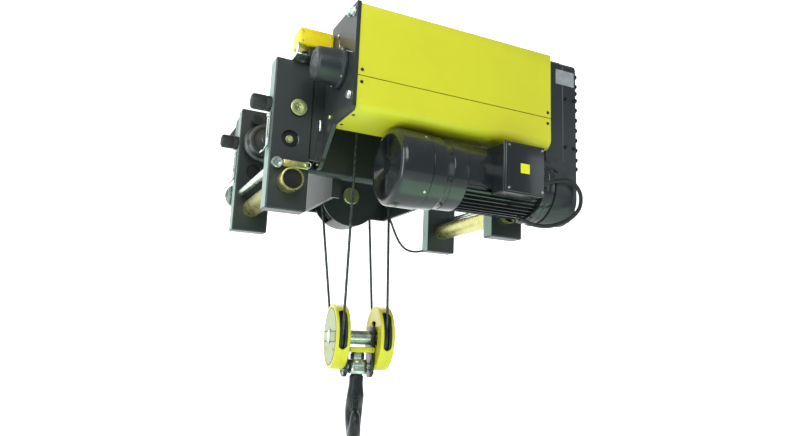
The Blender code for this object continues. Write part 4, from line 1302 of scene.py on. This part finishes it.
def make_cheek_fittings():
    """Bolts in the guide holes, tie rods, cross tubes, locking bar and ring."""
    spots = []
    shape = bmesh.new()
    for side in (-1, 1):
        for way, y in ((-1, -0.2600), (1, 0.2210)):
            spots += facing((0, way, 0), [(side * GUIDE_X, y, GUIDE_Z)])
            # Painted shade: a near-black disc fills each guide hole under its bolt.
            hole_fill = aimed((side * GUIDE_X, y - way * 0.0060, GUIDE_Z), (0, way, 0))
            revolve(
                shape, eased([(0.0, 0.0), (0.0, 0.0330), (0.0060, 0.0330), (0.0060, 0.0)], 0.001, 2),
                hole_fill, 48,
            )
    finished("guide_bosses", shape, HOLE_SHADE, "trolley_frame")
    scattered("guide_bolts", BOLT, spots, AXLE_ZINC, "trolley_frame", 1.0)
    for word, side, near in (("left", -1, -0.325), ("right", 1, -0.286)):
        line = [
            (near, 0.0305), (near, 0.0355), (near + 0.050, 0.0355), (near + 0.052, 0.0330),
            (0.2820, 0.0330), (0.2820, 0.0262), (near + 0.040, 0.0262), (near + 0.036, 0.0305),
        ]
        place = on_axis("Y", (side * TUBE_X, 0, TUBE_Z))
        turned(
            word + "_cross_tube_turned", eased(line, 0.0008, 2), place, 72, YELLOW_ZINC,
            "trolley_frame", (word + "_cross_tube",), closed=True,
        )
        # Painted shade: a near-black disc set inside the tube end stands in for the shade in the tube.
        turned(
            word + "_cross_tube_plug",
            [(near + 0.012, 0.0), (near + 0.012, 0.0304), (near + 0.020, 0.0304), (near + 0.020, 0.0)],
            place, 48, HOLE_SHADE, "trolley_frame",
        )
        far_r = 0.045 if side < 0 else 0.024
        line = [
            (-0.2820, 0.0), (-0.2820, 0.0075), (-0.2895, 0.0085), (-0.2900, 0.0150), (-0.2885, 0.0175),
            (-0.2720, 0.0175), (-0.2706, 0.0165), (-0.2704, 0.0125), (0.2865, 0.0125),
            (0.2867, far_r), (0.2950, far_r), (0.2960, far_r - 0.001), (0.2960, 0.0),
        ]
        turned(
            word + "_tie_rod_turned", line, on_axis("Y", (side * ROD_X, 0, ROD_Z)), 48, BRIGHT_ZINC,
            "trolley_frame", (word + "_tie_rod",),
        )
    low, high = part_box("locking_bar")
    shape = bmesh.new()
    block(shape, low, high, 0.004, 4)
    finished("locking_bar_shaped", shape, YELLOW_ZINC, "trolley_frame", ("locking_bar",))
    shape = bmesh.new()
    spot = Vector((high.x - 0.004, low.y - 0.0035, (low.z + high.z) / 2 + 0.002))
    ring = []
    for k in range(36):
        a = 2 * math.pi * k / 36
        ring.append(spot + Vector((0.0098 * math.cos(a), 0.0020 * math.sin(a), 0.0098 * math.sin(a))))
    sweep(shape, ring, 0.0017, 10, closed=True)
    finished("locking_ring", shape, BRIGHT_ZINC, "trolley_frame")
    for word, x, y, z in (("near", -0.478, -0.2660, 0.040), ("far", -0.478, 0.2300, 0.040)):
        shape = bmesh.new()
        path = [(0.0, 0.0), (0.0, -0.110), (-0.006, -0.124), (-0.018, -0.134)]
        place = on_axis("Y", (x, y, z))
        thick = 0.0028
        line = [Vector(p) for p in path]
        inside = [p + Vector((-thick, 0)) for p in line[:3]] + [line[3] + Vector((-0.0015, 0.0028))]
        outline = [tuple(p) for p in line] + [tuple(p) for p in reversed(inside)]
        plate(shape, outline, place, 0.0, 0.034, 0.0008, 2)
        finished(word + "_slotted_bracket", shape, BRIGHT_ZINC, "trolley_frame")
        shape = bmesh.new()
        block(shape, (x - 0.0034, y + 0.0125, z - 0.085), (x - 0.0024, y + 0.0215, z - 0.025), 0.0004, 2)
        finished(word + "_bracket_slot", shape, BLACK_PAINT, "trolley_frame")
        spots = facing((-1, 0, 0), [(x - 0.0028, y + 0.017, z - 0.013)])
        scattered(word + "_bracket_bolt", BOLT, spots, BRIGHT_ZINC, "trolley_frame", 0.62)


def make_buffers():
    for word, side, y in (
        ("near_left", -1, -0.24), ("near_right", 1, -0.24), ("far_left", -1, 0.24),
        ("far_right", 1, 0.24),
    ):
        line = [(0.4754, 0.0), (0.4754, 0.0210), (0.4775, 0.0250), (0.4850, 0.0250)]
        line += [(0.4900, 0.0250), (0.4915, 0.0240), (0.4935, 0.0240), (0.4950, 0.0250)]
        line += [
            (0.5290, 0.0250), (0.5345, 0.0232), (0.5375, 0.0190), (0.5375, 0.0060), (0.5350, 0.0045),
            (0.5350, 0.0),
        ]
        line = [(side * a, r) for a, r in line]
        turned(
            word + "_buffer_ribbed", line, on_axis("X", (0, y, BUFFER_Z)), 56, BUFFER_RUBBER,
            "trolley_frame", (word + "_buffer",),
        )


def fine_sheave(name, place, bore, hub, body, node, middle=0.0):
    """A rope sheave with lightening ribs and a rounded groove."""
    rim, root = 0.103, PITCH_R - ROPE_R - 0.0006
    line = [
        (-0.0150, bore), (-0.0150, hub), (-0.0060, hub + 0.004), (-0.0060, rim - 0.020),
        (-0.0150, rim - 0.016), (-0.0140, rim),
    ]
    line += [
        (0.0060 * math.sin(math.radians(a)), root + 0.0060 - 0.0060 * math.cos(math.radians(a)))
        for a in range(-60, 61, 20)
    ]
    line += [
        (0.0140, rim), (0.0150, rim - 0.016), (0.0060, rim - 0.020), (0.0060, hub + 0.004),
        (0.0150, hub), (0.0150, bore),
    ]
    shape = bmesh.new()
    revolve(shape, [(middle + a, r) for a, r in line], place, 88, closed=True)
    for k in range(6):
        turn = place @ Matrix.Rotation(math.radians(60 * k), 4, "Z")
        block(
            shape, (hub + 0.003, -0.0025, middle - 0.0110), (rim - 0.018, 0.0025, middle + 0.0110),
            0.0010, 2, turn,
        )
    finished(name, shape, SHEAVE_IRON, body, (node,), 40)


def make_top_sheave():
    place = on_axis("Y", (TOP.x, 0, TOP.z))
    fine_sheave("top_sheave_turned", place, 0.0165, 0.034, "upper_sheave", "top_sheave", TOP.y)
    y0 = TOP.y - 0.050
    line = [
        (y0 - 0.0080, 0.0), (y0 - 0.0080, 0.0050), (y0 - 0.0100, 0.0065), (y0 - 0.0100, 0.0290),
        (
            y0 - 0.0080, 0.0310,
        ), (y0 - 0.0006, 0.0310), (y0 - 0.0004, 0.0160), (0.1430, 0.0160), (0.1430, 0.0),
    ]
    turned("top_sheave_pin_turned", line, place, 56, AXLE_ZINC, "trolley_frame", ("top_sheave_pin",))
    low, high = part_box("rope_anchor")
    x, y = (low.x + high.x) / 2, (low.y + high.y) / 2
    line = [
        (low.z, 0.0), (low.z, 0.0080), (low.z + 0.006, 0.0090), (low.z + 0.012, 0.0128),
        (low.z + 0.036, 0.0130), (low.z + 0.040, 0.0105), (
            high.z - 0.003, 0.0105,
        ), (high.z, 0.0090), (high.z, 0.0),
    ]
    shape = bmesh.new()
    revolve(shape, eased(line, 0.001, 3), on_axis("Z", (x, y, 0)), 48)
    sweep(
        shape,
        [
            Vector((x - 0.017, y, low.z + 0.024)), Vector((x, y, low.z + 0.024)),
            Vector((x + 0.017, y, low.z + 0.024)),
        ],
        0.0050, 20,
    )
    finished("rope_anchor_socket", shape, BRIGHT_ZINC, "trolley_frame", ("rope_anchor",))


def make_travel_drive():
    low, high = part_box("travel_motor")
    spot = middle_of("travel_motor")
    place = on_axis("Y", (spot.x, 0, spot.z))
    line = [
        (low.y, 0.0), (low.y, 0.0460), (low.y + 0.006, 0.0490), (low.y + 0.010, 0.0440),
        (low.y + 0.118, 0.0440),
    ]
    line += [
        (low.y + 0.120, 0.0500), (high.y - 0.012, 0.0500), (high.y - 0.003, 0.0460), (high.y, 0.0360),
        (high.y, 0.0),
    ]
    shape = bmesh.new()
    revolve(shape, eased(line, 0.0012, 3), place, 72)
    for k in range(5):
        ring = [
            Vector((spot.x + a, high.y - 0.0002, spot.z + b))
            for a, b in arc((0, 0), 0.010 + 0.005 * k, 0, 350, 35)
        ]
        sweep(shape, ring, 0.0008, 6, closed=True)
    finished("travel_motor_body", shape, BLACK_PAINT, "trolley_frame", ("travel_motor",), 40)

    def fin(made):
        outline = [(-0.0010, -0.001), (-0.0008, 0.0058), (0.0008, 0.0058), (0.0010, -0.001)]
        turn = Matrix(((0, 1, 0, 0.0437), (1, 0, 0, 0), (0, 0, 1, 0), (0, 0, 0, 1)))
        plate(made, outline, turn, low.y + 0.010, low.y + 0.1175, 0.0006, 1)

    round_axis(
        "travel_motor_fins", prototype("small_fin_pattern", fin), 30, place, BLACK_PAINT,
        "trolley_frame",
    )
    box_low, box_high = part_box("travel_gearbox")
    ends = (box_low.x + 0.014, box_high.x - 0.014)
    levels = (box_low.z + 0.016, box_high.z - 0.016)
    spots = facing((0, 1, 0), [(x, box_high.y, z) for x in ends for z in levels])
    scattered("travel_gearbox_bolts", BOLT, spots, BRIGHT_ZINC, "trolley_frame", 0.5)


def make_rope_guide():
    low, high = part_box("guide_bar")
    y, z = (low.y + high.y) / 2, (low.z + high.z) / 2
    line = [
        (low.x, 0.0), (low.x, 0.0074), (low.x + 0.001, 0.0080), (high.x - 0.001, 0.0080),
        (high.x, 0.0074), (high.x, 0.0),
    ]
    turned(
        "guide_bar_turned", line, on_axis("X", (0, y, z)), 40, BRIGHT_ZINC, "trolley_frame",
        ("guide_bar",),
    )
    low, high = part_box("rope_guide")
    line = arc((DRUM.y, DRUM.z), 0.1048, 24, 312, 72) + arc((DRUM.y, DRUM.z), 0.0966, 312, 24, 72)
    shape = bmesh.new()
    plate(shape, line, on_axis("X", (0, 0, 0)), low.x, high.x, 0.0012, 2)
    middle = (low.x + high.x) / 2
    revolve(
        shape, [(-0.013, 0.0084), (-0.013, 0.0140), (0.013, 0.0140), (0.013, 0.0084)],
        on_axis("X", (middle, DRUM.y, 0.293)), 40, closed=True,
    )
    block(
        shape, (middle - 0.010, DRUM.y - 0.012, DRUM.z + 0.103),
        (middle + 0.010, DRUM.y + 0.012, 0.2835), 0.0015, 2,
    )
    finished("rope_guide_ring", shape, BLACK_PLASTIC, "guide", ("rope_guide",))


def slot_width(angle, wide, radius, ranges):
    """Half the width of a rope slot with round ends, at an angle round a guard."""
    for start, end in ranges:
        inside = min(angle - start, end - angle)
        if inside > 0:
            reach = math.radians(inside) * radius
            if reach >= wide:
                return wide
            return math.sqrt(wide * wide - (wide - reach) ** 2)
    return 0.0


def make_block_guard(word, side):
    """One guard of the hook block: a round shell with a long rope slot on each side."""
    middle = side * SHEAVE_OFFSET
    place = BLOCK_FRAME @ on_axis("X", (0, 0, 0))
    slots = ((-23.0, 55.0), (125.0, 203.0))
    steps = 288
    shape = bmesh.new()
    for way in (-1, 1):
        bore = 0.0600 if way == -side else 0.0275
        rows = []
        for k in range(steps):
            angle = -90.0 + 360.0 * k / steps
            wide = slot_width(angle, 0.0150, 0.113, slots)
            line = [
                (wide, 0.1068), (wide, 0.1122), (wide + 0.0008, 0.1130), (0.0190, 0.1130),
                (0.0225, 0.1122), (0.0244, 0.1098),
            ]
            line += [
                (0.0250, 0.1065), (0.0250, 0.1015), (0.0240, 0.1000), (0.0240, bore), (0.0178, bore),
                (0.0178, 0.1068),
            ]
            a = math.radians(angle)
            rows.append(
                [
                    shape.verts.new(
                        place @ Vector((r * math.cos(a), r * math.sin(a), middle + way * x))
                    )
                    for x, r in line
                ]
            )
        skinned(shape, zip(rows, rows[1:] + rows[:1]))
    inner = middle - side * 0.0178
    for turn in (55, 125, 235, 305):
        spoke = place @ Matrix.Rotation(math.radians(turn), 4, "Z")
        low, high = sorted((inner, inner - side * 0.0056))
        block(shape, (0.0330, -0.007, low), (0.0645, 0.007, high), 0.001, 2, spoke)
    finished(word + "_guard_shell", shape, GUARD_YELLOW, "hook_block", (word + "_sheave_guard",), 40)
    # The faces carry painted light: their pale grey-green stands in for the light from the left.
    face = middle + side * 0.0240
    shape = bmesh.new()
    line = [
        (face - side * 0.0040, 0.0262), (face - side * 0.0040, 0.0975), (face + side * 0.0006, 0.0975),
        (face + side * 0.0014, 0.0965), (face + side * 0.0014, 0.0262),
    ]
    revolve(shape, line, place, 96, closed=True)
    low, high = sorted((face + side * 0.0012, face + side * 0.0036))
    block(shape, (-0.0900, -0.0165, low), (0.0900, 0.0145, high), 0.0008, 2, place)
    finished(word + "_guard_face", shape, GUARD_FACE_PAINTED_LIGHT, "hook_block")
    shape = bmesh.new()
    for z in (-0.0190, 0.0165):
        block(shape, (-0.0930, z - 0.0012, low), (0.0930, z + 0.0012, high), 0.0003, 1, place)
    sweep(shape, ring_points(place, 0.0987, face + side * 0.0004, 96), 0.0011, 8, closed=True)
    for start, end in slots:
        edge = arc((0, 0), 0.1062, start - 4, end + 4, 40) + arc((0, 0), 0.1048, end + 4, start - 4, 40)
        for way in (-1, 1):
            low, high = sorted((middle + way * 0.0060, middle + way * 0.0172))
            plate(shape, edge, place, low, high, 0.0003, 1)
    finished(word + "_guard_trim", shape, BLACK_PLASTIC, "hook_block")
    spots = []
    ahead = BLOCK_FRAME.to_3x3() @ Vector((side, 0, 0))
    for turn in (215, 325):
        a = math.radians(turn)
        spots.append(
            (place @ Vector((0.080 * math.cos(a), 0.080 * math.sin(a), face + side * 0.0014)), ahead)
        )
    scattered(word + "_guard_bolts", BOLT, spots, AXLE_ZINC, "hook_block", 0.42)


def make_hook_block():
    for word, side in (("left", -1), ("right", 1)):
        make_block_guard(word, side)
        place = BLOCK_FRAME @ on_axis("X", (0, 0, 0))
        fine_sheave(
            word + "_block_sheave_turned", place, 0.0242, 0.038, word + "_lower_sheave",
            word + "_block_sheave", side * SHEAVE_OFFSET,
        )
    half = [
        (0.0300, 0.0262), (0.0390, 0.0262), (0.0400, 0.0235), (0.1070, 0.0235), (0.1090, 0.0215),
        (0.1090, 0.0050), (0.1070, 0.0035),
    ]
    line = [(-0.1070, 0.0)] + [(-a, r) for a, r in reversed(half)] + half + [(0.1070, 0.0)]
    turned(
        "block_axle_turned", line, BLOCK_FRAME @ on_axis("X", (0, 0, 0)), 56, BRIGHT_ZINC, "hook_block",
        ("block_axle",),
    )
    shape = bmesh.new()
    z0, z1 = -0.138, 0.040
    side_line = arc((0, z0 + 0.036), 0.0365, 200, 340, 20) + [(0.040, -0.060), (0.040, z1 - 0.012)]
    side_line += arc((0.028, z1 - 0.012), 0.012, 0, 90, 5) + arc(
        (-0.028, z1 - 0.012), 0.012, 90, 180, 5,
    ) + [(-0.040, -0.060)]
    place = BLOCK_FRAME @ on_axis("X", (0, 0, 0))
    for low in (-0.0530, 0.0410):
        plate(shape, side_line, place, low, low + 0.0120, 0.0012, 2)
    finished("block_side_plates", shape, BLACK_PAINT, "hook_block", ("block_frame",))
    shape = bmesh.new()
    for low, high in ((-0.0480, -0.0402), (0.0402, 0.0480)):
        block(shape, (-0.0500, low, -0.0520), (0.0500, high, -0.0340), 0.0030, 3, BLOCK_FRAME)
    finished("block_straps", shape, GUARD_YELLOW, "hook_block", ("block_frame",))
    spots = []
    turn = BLOCK_FRAME.to_3x3()
    for y, way in ((-0.0480, -1), (0.0480, 1)):
        for x in (-0.040, 0.040):
            spots.append((BLOCK_FRAME @ Vector((x, y, -0.043)), turn @ Vector((0, way, 0))))
    for x, way in ((-0.0530, -1), (0.0530, 1)):
        for y in (-0.022, 0.022):
            spots.append((BLOCK_FRAME @ Vector((x, y, -0.122)), turn @ Vector((way, 0, 0))))
    scattered("block_bolts", BOLT, spots, BRIGHT_ZINC, "hook_block", 0.42)
    shape = bmesh.new()
    line = [
        (CROSS_Z - 0.0245, 0.0216), (CROSS_Z - 0.0245, 0.0325), (CROSS_Z - 0.0160, 0.0365),
        (CROSS_Z - 0.0040, 0.0365), (CROSS_Z - 0.0030, 0.0358), (CROSS_Z + 0.0030, 0.0358),
        (
            CROSS_Z + 0.0040, 0.0365,
        ), (CROSS_Z + 0.0160, 0.0365), (CROSS_Z + 0.0245, 0.0325), (CROSS_Z + 0.0245, 0.0216),
    ]
    revolve(shape, eased(line, 0.0012, 3), BLOCK_FRAME, 72, closed=True)
    for way in (-1, 1):
        line = [
            (way * 0.0300, 0.0), (way * 0.0300, 0.0139), (way * 0.0512, 0.0139), (way * 0.0524, 0.0128),
            (way * 0.0524, 0.0),
        ]
        revolve(shape, line, BLOCK_FRAME @ on_axis("X", (0, 0, CROSS_Z)), 48)
    finished("crosshead_turned", shape, BRIGHT_ZINC, "hook_crosshead", ("crosshead",))


def make_hook():
    """The forged hook: a smooth loft through sections round its bend."""
    marks = [
        (0.0, CROSS_Z + 0.049, -90.0, 0.0185, 0.0185), (0.0, CROSS_Z + 0.046, -90.0, 0.0205, 0.0205),
        (0.0, -0.1290, -90.0, 0.0205, 0.0205), (0.0, -0.1340, -90.0, 0.0240, 0.0245),
        (0.0, -0.1620, -90.0, 0.0245, 0.0250), (0.0, -0.1900, -90.0, 0.0250, 0.0285),
        (0.005, -0.2030, -78.0, 0.0265, 0.0300),
    ]
    bend = (
        (48, 0.0270, 0.0310), (22, 0.0285, 0.0310), (-4, 0.0295, 0.0300), (-28, 0.0305, 0.0280),
        (-52, 0.0310, 0.0262), (-76, 0.0305, 0.0250), (-100, 0.0290, 0.0238), (-124, 0.0265, 0.0222),
        (-148, 0.0235, 0.0205), (-170, 0.0200, 0.0180), (-192, 0.0150, 0.0150), (-206, 0.0095, 0.0105),
    )
    for angle, depth, thick in bend:
        turn = math.radians(angle)
        reach = HOOK_SEAT_R + depth + (0.004 if angle < -160 else 0.0)
        marks.append(
            (reach * math.cos(turn), HOOK_SEAT_Z + reach * math.sin(turn), angle - 90.0, depth, thick)
        )
    marks.append((marks[-1][0] + 0.0040, marks[-1][1] + 0.0055, -300.0, 0.0040, 0.0045))
    places = smooth_path([(a, b, c) for a, b, c, _, _ in marks], 5)
    sizes = smooth_path([(d, t, 0.0) for _, _, _, d, t in marks], 5)
    shape = bmesh.new()
    rows = []
    sides = 32
    for (across, up, heading), (depth, thick, _) in zip(places, sizes):
        turn = math.radians(heading)
        side = Vector((0, -math.sin(turn), math.cos(turn)))
        middle = Vector((0, across, up))
        row = []
        for k in range(sides):
            angle = 2 * math.pi * k / sides
            swell = max(0.0, depth - thick) / 0.0045
            narrow = 1.0 - 0.22 * min(swell, 1.0) * max(0.0, math.cos(angle))
            edge = Vector((thick * narrow * math.sin(angle), 0, 0))
            row.append(shape.verts.new(HOOK_FRAME @ (middle + side * (depth * math.cos(angle)) + edge)))
        rows.append(row)
    skinned(shape, zip(rows, rows[1:]))
    shape.faces.new(rows[0])
    shape.faces.new(rows[-1])
    for way in (-1, 1):
        block(
            shape, (way * 0.0045 - 0.0020, -0.0330, -0.2100), (way * 0.0045 + 0.0020, -0.0150, -0.1960),
            0.0015, 3, HOOK_FRAME,
        )
    finished("hook_forging", shape, HOOK_BLACK, "lifting_hook", ("hook",), 50)
    shape = bmesh.new()
    low, high = CROSS_Z + 0.0250, CROSS_Z + 0.0500
    plate(shape, hexagon(0.0250), HOOK_FRAME, low, high - 0.0060, 0.0008, 2)
    revolve(
        shape,
        [
            (high - 0.0070, 0.0), (high - 0.0070, 0.0232), (high - 0.0010, 0.0232), (high, 0.0220),
            (high, 0.0),
        ],
        HOOK_FRAME, 48,
    )
    finished("hook_nut_cut", shape, BRIGHT_ZINC, "lifting_hook", ("hook_nut",))
    shape = bmesh.new()
    side_line = [
        (-0.0255, -0.2000), (-0.0310, -0.2040), (-0.0310, -0.2130), (-0.0297, -0.2560),
        (-0.0270, -0.2620), (-0.0255, -0.2560), (-0.0250, -0.2080),
    ]
    place = HOOK_FRAME @ on_axis("X", (0, 0, 0))
    for low in (-0.0098, 0.0080):
        plate(shape, side_line, place, low, low + 0.0018, 0.0004, 1)
    block(shape, (-0.0098, -0.0312, -0.2560), (0.0098, -0.0292, -0.2120), 0.0008, 2, HOOK_FRAME)
    revolve(
        shape,
        [
            (-0.0110, 0.0), (-0.0110, 0.0028), (-0.0100, 0.0030), (0.0100, 0.0030), (0.0110, 0.0028),
            (0.0110, 0.0),
        ],
        HOOK_FRAME @ on_axis("X", (0, -0.0275, -0.2040)), 24,
    )
    finished("hook_latch_pressed", shape, HOOK_BLACK, "latch", ("hook_latch",))


def tangent(centre, radius, point, side):
    """Where a line from point touches a circle on one side, and the angle there."""
    across, up = point[0] - centre[0], point[1] - centre[1]
    open_angle = math.acos(radius / math.hypot(across, up))
    base = math.atan2(up, across)
    best = max((base + open_angle, base - open_angle), key=lambda angle: side * math.cos(angle))
    return (centre[0] + radius * math.cos(best), centre[1] + radius * math.sin(best)), best


def block_touch(offset, side, upper):
    local = BLOCK_FRAME.inverted() @ Vector(upper)
    spot, angle = tangent((0, 0), PITCH_R, (local.y, local.z), side)
    return BLOCK_FRAME @ Vector((offset, spot[0], spot[1])), angle


def top_touch(side, lower):
    spot, angle = tangent((TOP.x, TOP.z), PITCH_R, (lower[0], lower[2]), side)
    return Vector((spot[0], TOP.y, spot[1])), angle


def make_ropes():
    """Four falls, two turns under the block's sheaves and one over the top sheave."""
    anchor = middle_of("rope_anchor")
    anchor.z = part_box("rope_anchor")[0].z - 0.0005
    left_near, left_far, right_far = BLOCK.copy(), BLOCK.copy(), BLOCK.copy()
    for _ in range(8):
        spot, _ = tangent((DRUM.y, DRUM.z), 0.090, (left_near.y, left_near.z), 1)
        drum_spot = Vector((-0.205, spot[0], spot[1]))
        left_near, left_near_angle = block_touch(-SHEAVE_OFFSET, -1, drum_spot)
        top_left, top_left_angle = top_touch(-1, left_far)
        left_far, left_far_angle = block_touch(-SHEAVE_OFFSET, 1, top_left)
        top_right, top_right_angle = top_touch(1, right_far)
        right_far, right_far_angle = block_touch(SHEAVE_OFFSET, 1, top_right)
    right_near, right_near_angle = block_touch(SHEAVE_OFFSET, -1, anchor)
    for name, node, high, low in (
        ("fall_from_drum", "rope_from_drum", drum_spot, left_near),
        ("fall_left_far", "rope_left_far_fall", top_left, left_far),
        ("fall_right_far", "rope_right_far_fall", top_right, right_far),
        ("fall_to_anchor", "rope_to_anchor", anchor, right_near),
    ):
        path = [high.lerp(low, k / 60) for k in range(61)]
        made = laid_rope(name, path, ROPE_R, ROPE_STEEL, None, (node,))
        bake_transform(made)
    full = 2 * math.pi
    for word, offset, near, far in (
        ("left", -SHEAVE_OFFSET, left_near_angle, left_far_angle),
        ("right", SHEAVE_OFFSET, right_near_angle, right_far_angle),
    ):
        path = []
        near = near % full
        for k in range(65):
            angle = near + (far + full - near) * k / 64
            path.append(
                BLOCK_FRAME @ Vector((offset, PITCH_R * math.cos(angle), PITCH_R * math.sin(angle)))
            )
        laid_rope(
            "rope_turn_" + word, path, ROPE_R, ROPE_STEEL, "hook_block",
            ("rope_under_%s_sheave" % word,),
        )
    path = []
    last = top_left_angle % full
    for k in range(65):
        angle = top_right_angle + (last - top_right_angle) * k / 64
        path.append(Vector((TOP.x + PITCH_R * math.cos(angle), TOP.y, TOP.z + PITCH_R * math.sin(angle))))
    laid_rope("rope_turn_top", path, ROPE_R, ROPE_STEEL, "trolley_frame", ("rope_over_top_sheave",))


def make_cord(name, points, diameter, finish, stiffness, lay, sides=16, ribs=0, per=5):
    """A cable or conduit that leaves the hoist and comes back to it, on one smooth line."""
    line = smooth_path(points, per)
    shape = bmesh.new()
    path = line
    radius = diameter / 2
    if ribs:
        path = smooth_path(points, int(ribs))
        steps = len(path)

        def radius(share):
            return diameter / 2 * (1.0 - 0.10 * (round(share * (steps - 1)) % 4 in (0, 1)))

    sweep(shape, path, radius, sides)
    made = finished(name, shape, finish, "trolley_frame", (), 60)
    facts = {"exit": tuple(line[0]), "length": round(length_of(line), 3), "diameter": diameter}
    facts.update(far_end="object", stiffness=stiffness, lay=lay, path=[tuple(p) for p in line])


def bent(start, start_pull, end_pull, end, steps=14):
    """One smooth bend between two points, led by two pulls."""
    line = []
    for k in range(steps + 1):
        t = k / steps
        s = 1.0 - t
        line.append(tuple(
            s ** 3 * a + 3 * s * s * t * b + 3 * s * t * t * c + t ** 3 * d
            for a, b, c, d in zip(start, start_pull, end_pull, end)
        ))
    return line


def make_cords():
    y = -0.545
    loop = [
        (0.349, y, -0.133), (0.372, y - 0.003, -0.129), (
            0.408, y - 0.008, -0.1185,
        ), (0.446, y - 0.010, -0.1115),
        (0.480, y - 0.010, -0.1235), (0.5020, y - 0.009, -0.1540), (0.5000, y - 0.006, -0.1950),
        (0.4740, y, -0.2290), (0.4350, y + 0.006, -0.2530), (0.3860, y + 0.010, -0.2680),
        (0.3360, y + 0.016, -0.2700), (0.2960, y + 0.040, -0.2520),
    ]
    make_cord("motor_conduit", loop, 0.0135, CABLE_SKIN, "medium", "loose", 18, 40, 3)
    thin = [
        (0.3405, -0.530, -0.100), (0.3600, -0.530, -0.088), (
            0.3850, -0.528, -0.0725,
        ), (0.4150, -0.522, -0.0700),
        (0.4450, -0.512, -0.0780), (0.4700, -0.500, -0.0880), (0.4900, -0.4880, -0.0960),
    ]
    make_cord("brake_cable", thin, 0.0075, CABLE_SKIN, "medium", "loose", 14, 0, 4)
    hanging = bent(
        (0.088, 0.050, -0.185), (0.150, 0.100, -0.258), (0.190, 0.150, -0.312),
        (0.322, 0.2125, -0.2720), 20,
    )
    make_cord("travel_cable", hanging, 0.0090, CABLE_SKIN, "medium", "hanging", 14, 0, 4)
    lanyard = [
        (-0.3190, -0.2760, 0.0260), (-0.3205, -0.2775, 0.0010), (
            -0.3200, -0.2780, -0.0320,
        ), (-0.3212, -0.2785, -0.0660),
        (-0.3290, -0.2790, -0.1000), (-0.3400, -0.2800, -0.1200), (-0.3480, -0.2815, -0.1270),
    ]
    make_cord("bar_lanyard", lanyard, 0.0030, ROPE_STEEL, "limp", "hanging", 10, 0, 4)
    crimp = eased([(-0.012, 0.0), (-0.012, 0.0045), (0.026, 0.0045), (0.026, 0.0)], 0.001, 2)
    turned(
        "lanyard_crimp", crimp, aimed((-0.3190, -0.2760, 0.0210), (0.05, 0.0, -1.0)), 28, BRIGHT_ZINC,
        "trolley_frame",
    )
    shape = bmesh.new()
    revolve(
        shape,
        eased([(0.0, 0.0), (0.0, 0.0125), (0.010, 0.0120), (0.030, 0.0095), (0.030, 0.0)], 0.0006, 2),
        aimed((0.3425, -0.545, -0.1335), (1, -0.08, 0.12)), 32,
    )
    revolve(
        shape, eased([(0.0, 0.0), (0.0, 0.0095), (0.012, 0.0095), (0.012, 0.0)], 0.0008, 2),
        aimed((0.2960, -0.505, -0.2520), (-0.35, 0.75, 0.55)), 32,
    )
    finished("conduit_sleeves", shape, BLACK_PLASTIC, "trolley_frame")


def make_all():
    make_cords()
    make_cover()
    make_motor()
    make_terminal_box()
    make_gearbox()
    make_drum()
    make_end_plate()
    make_limit_switch()
    make_wheels()
    make_axle_caps()
    make_cheek_fittings()
    make_buffers()
    make_top_sheave()
    make_travel_drive()
    make_rope_guide()
    make_hook_block()
    make_hook()
    make_ropes()


make_camera()
make_lights()
make_stage(pale_stage())
finish_cad_nodes()
make_all()
for pattern in PATTERNS:
    bpy.data.objects.remove(pattern)
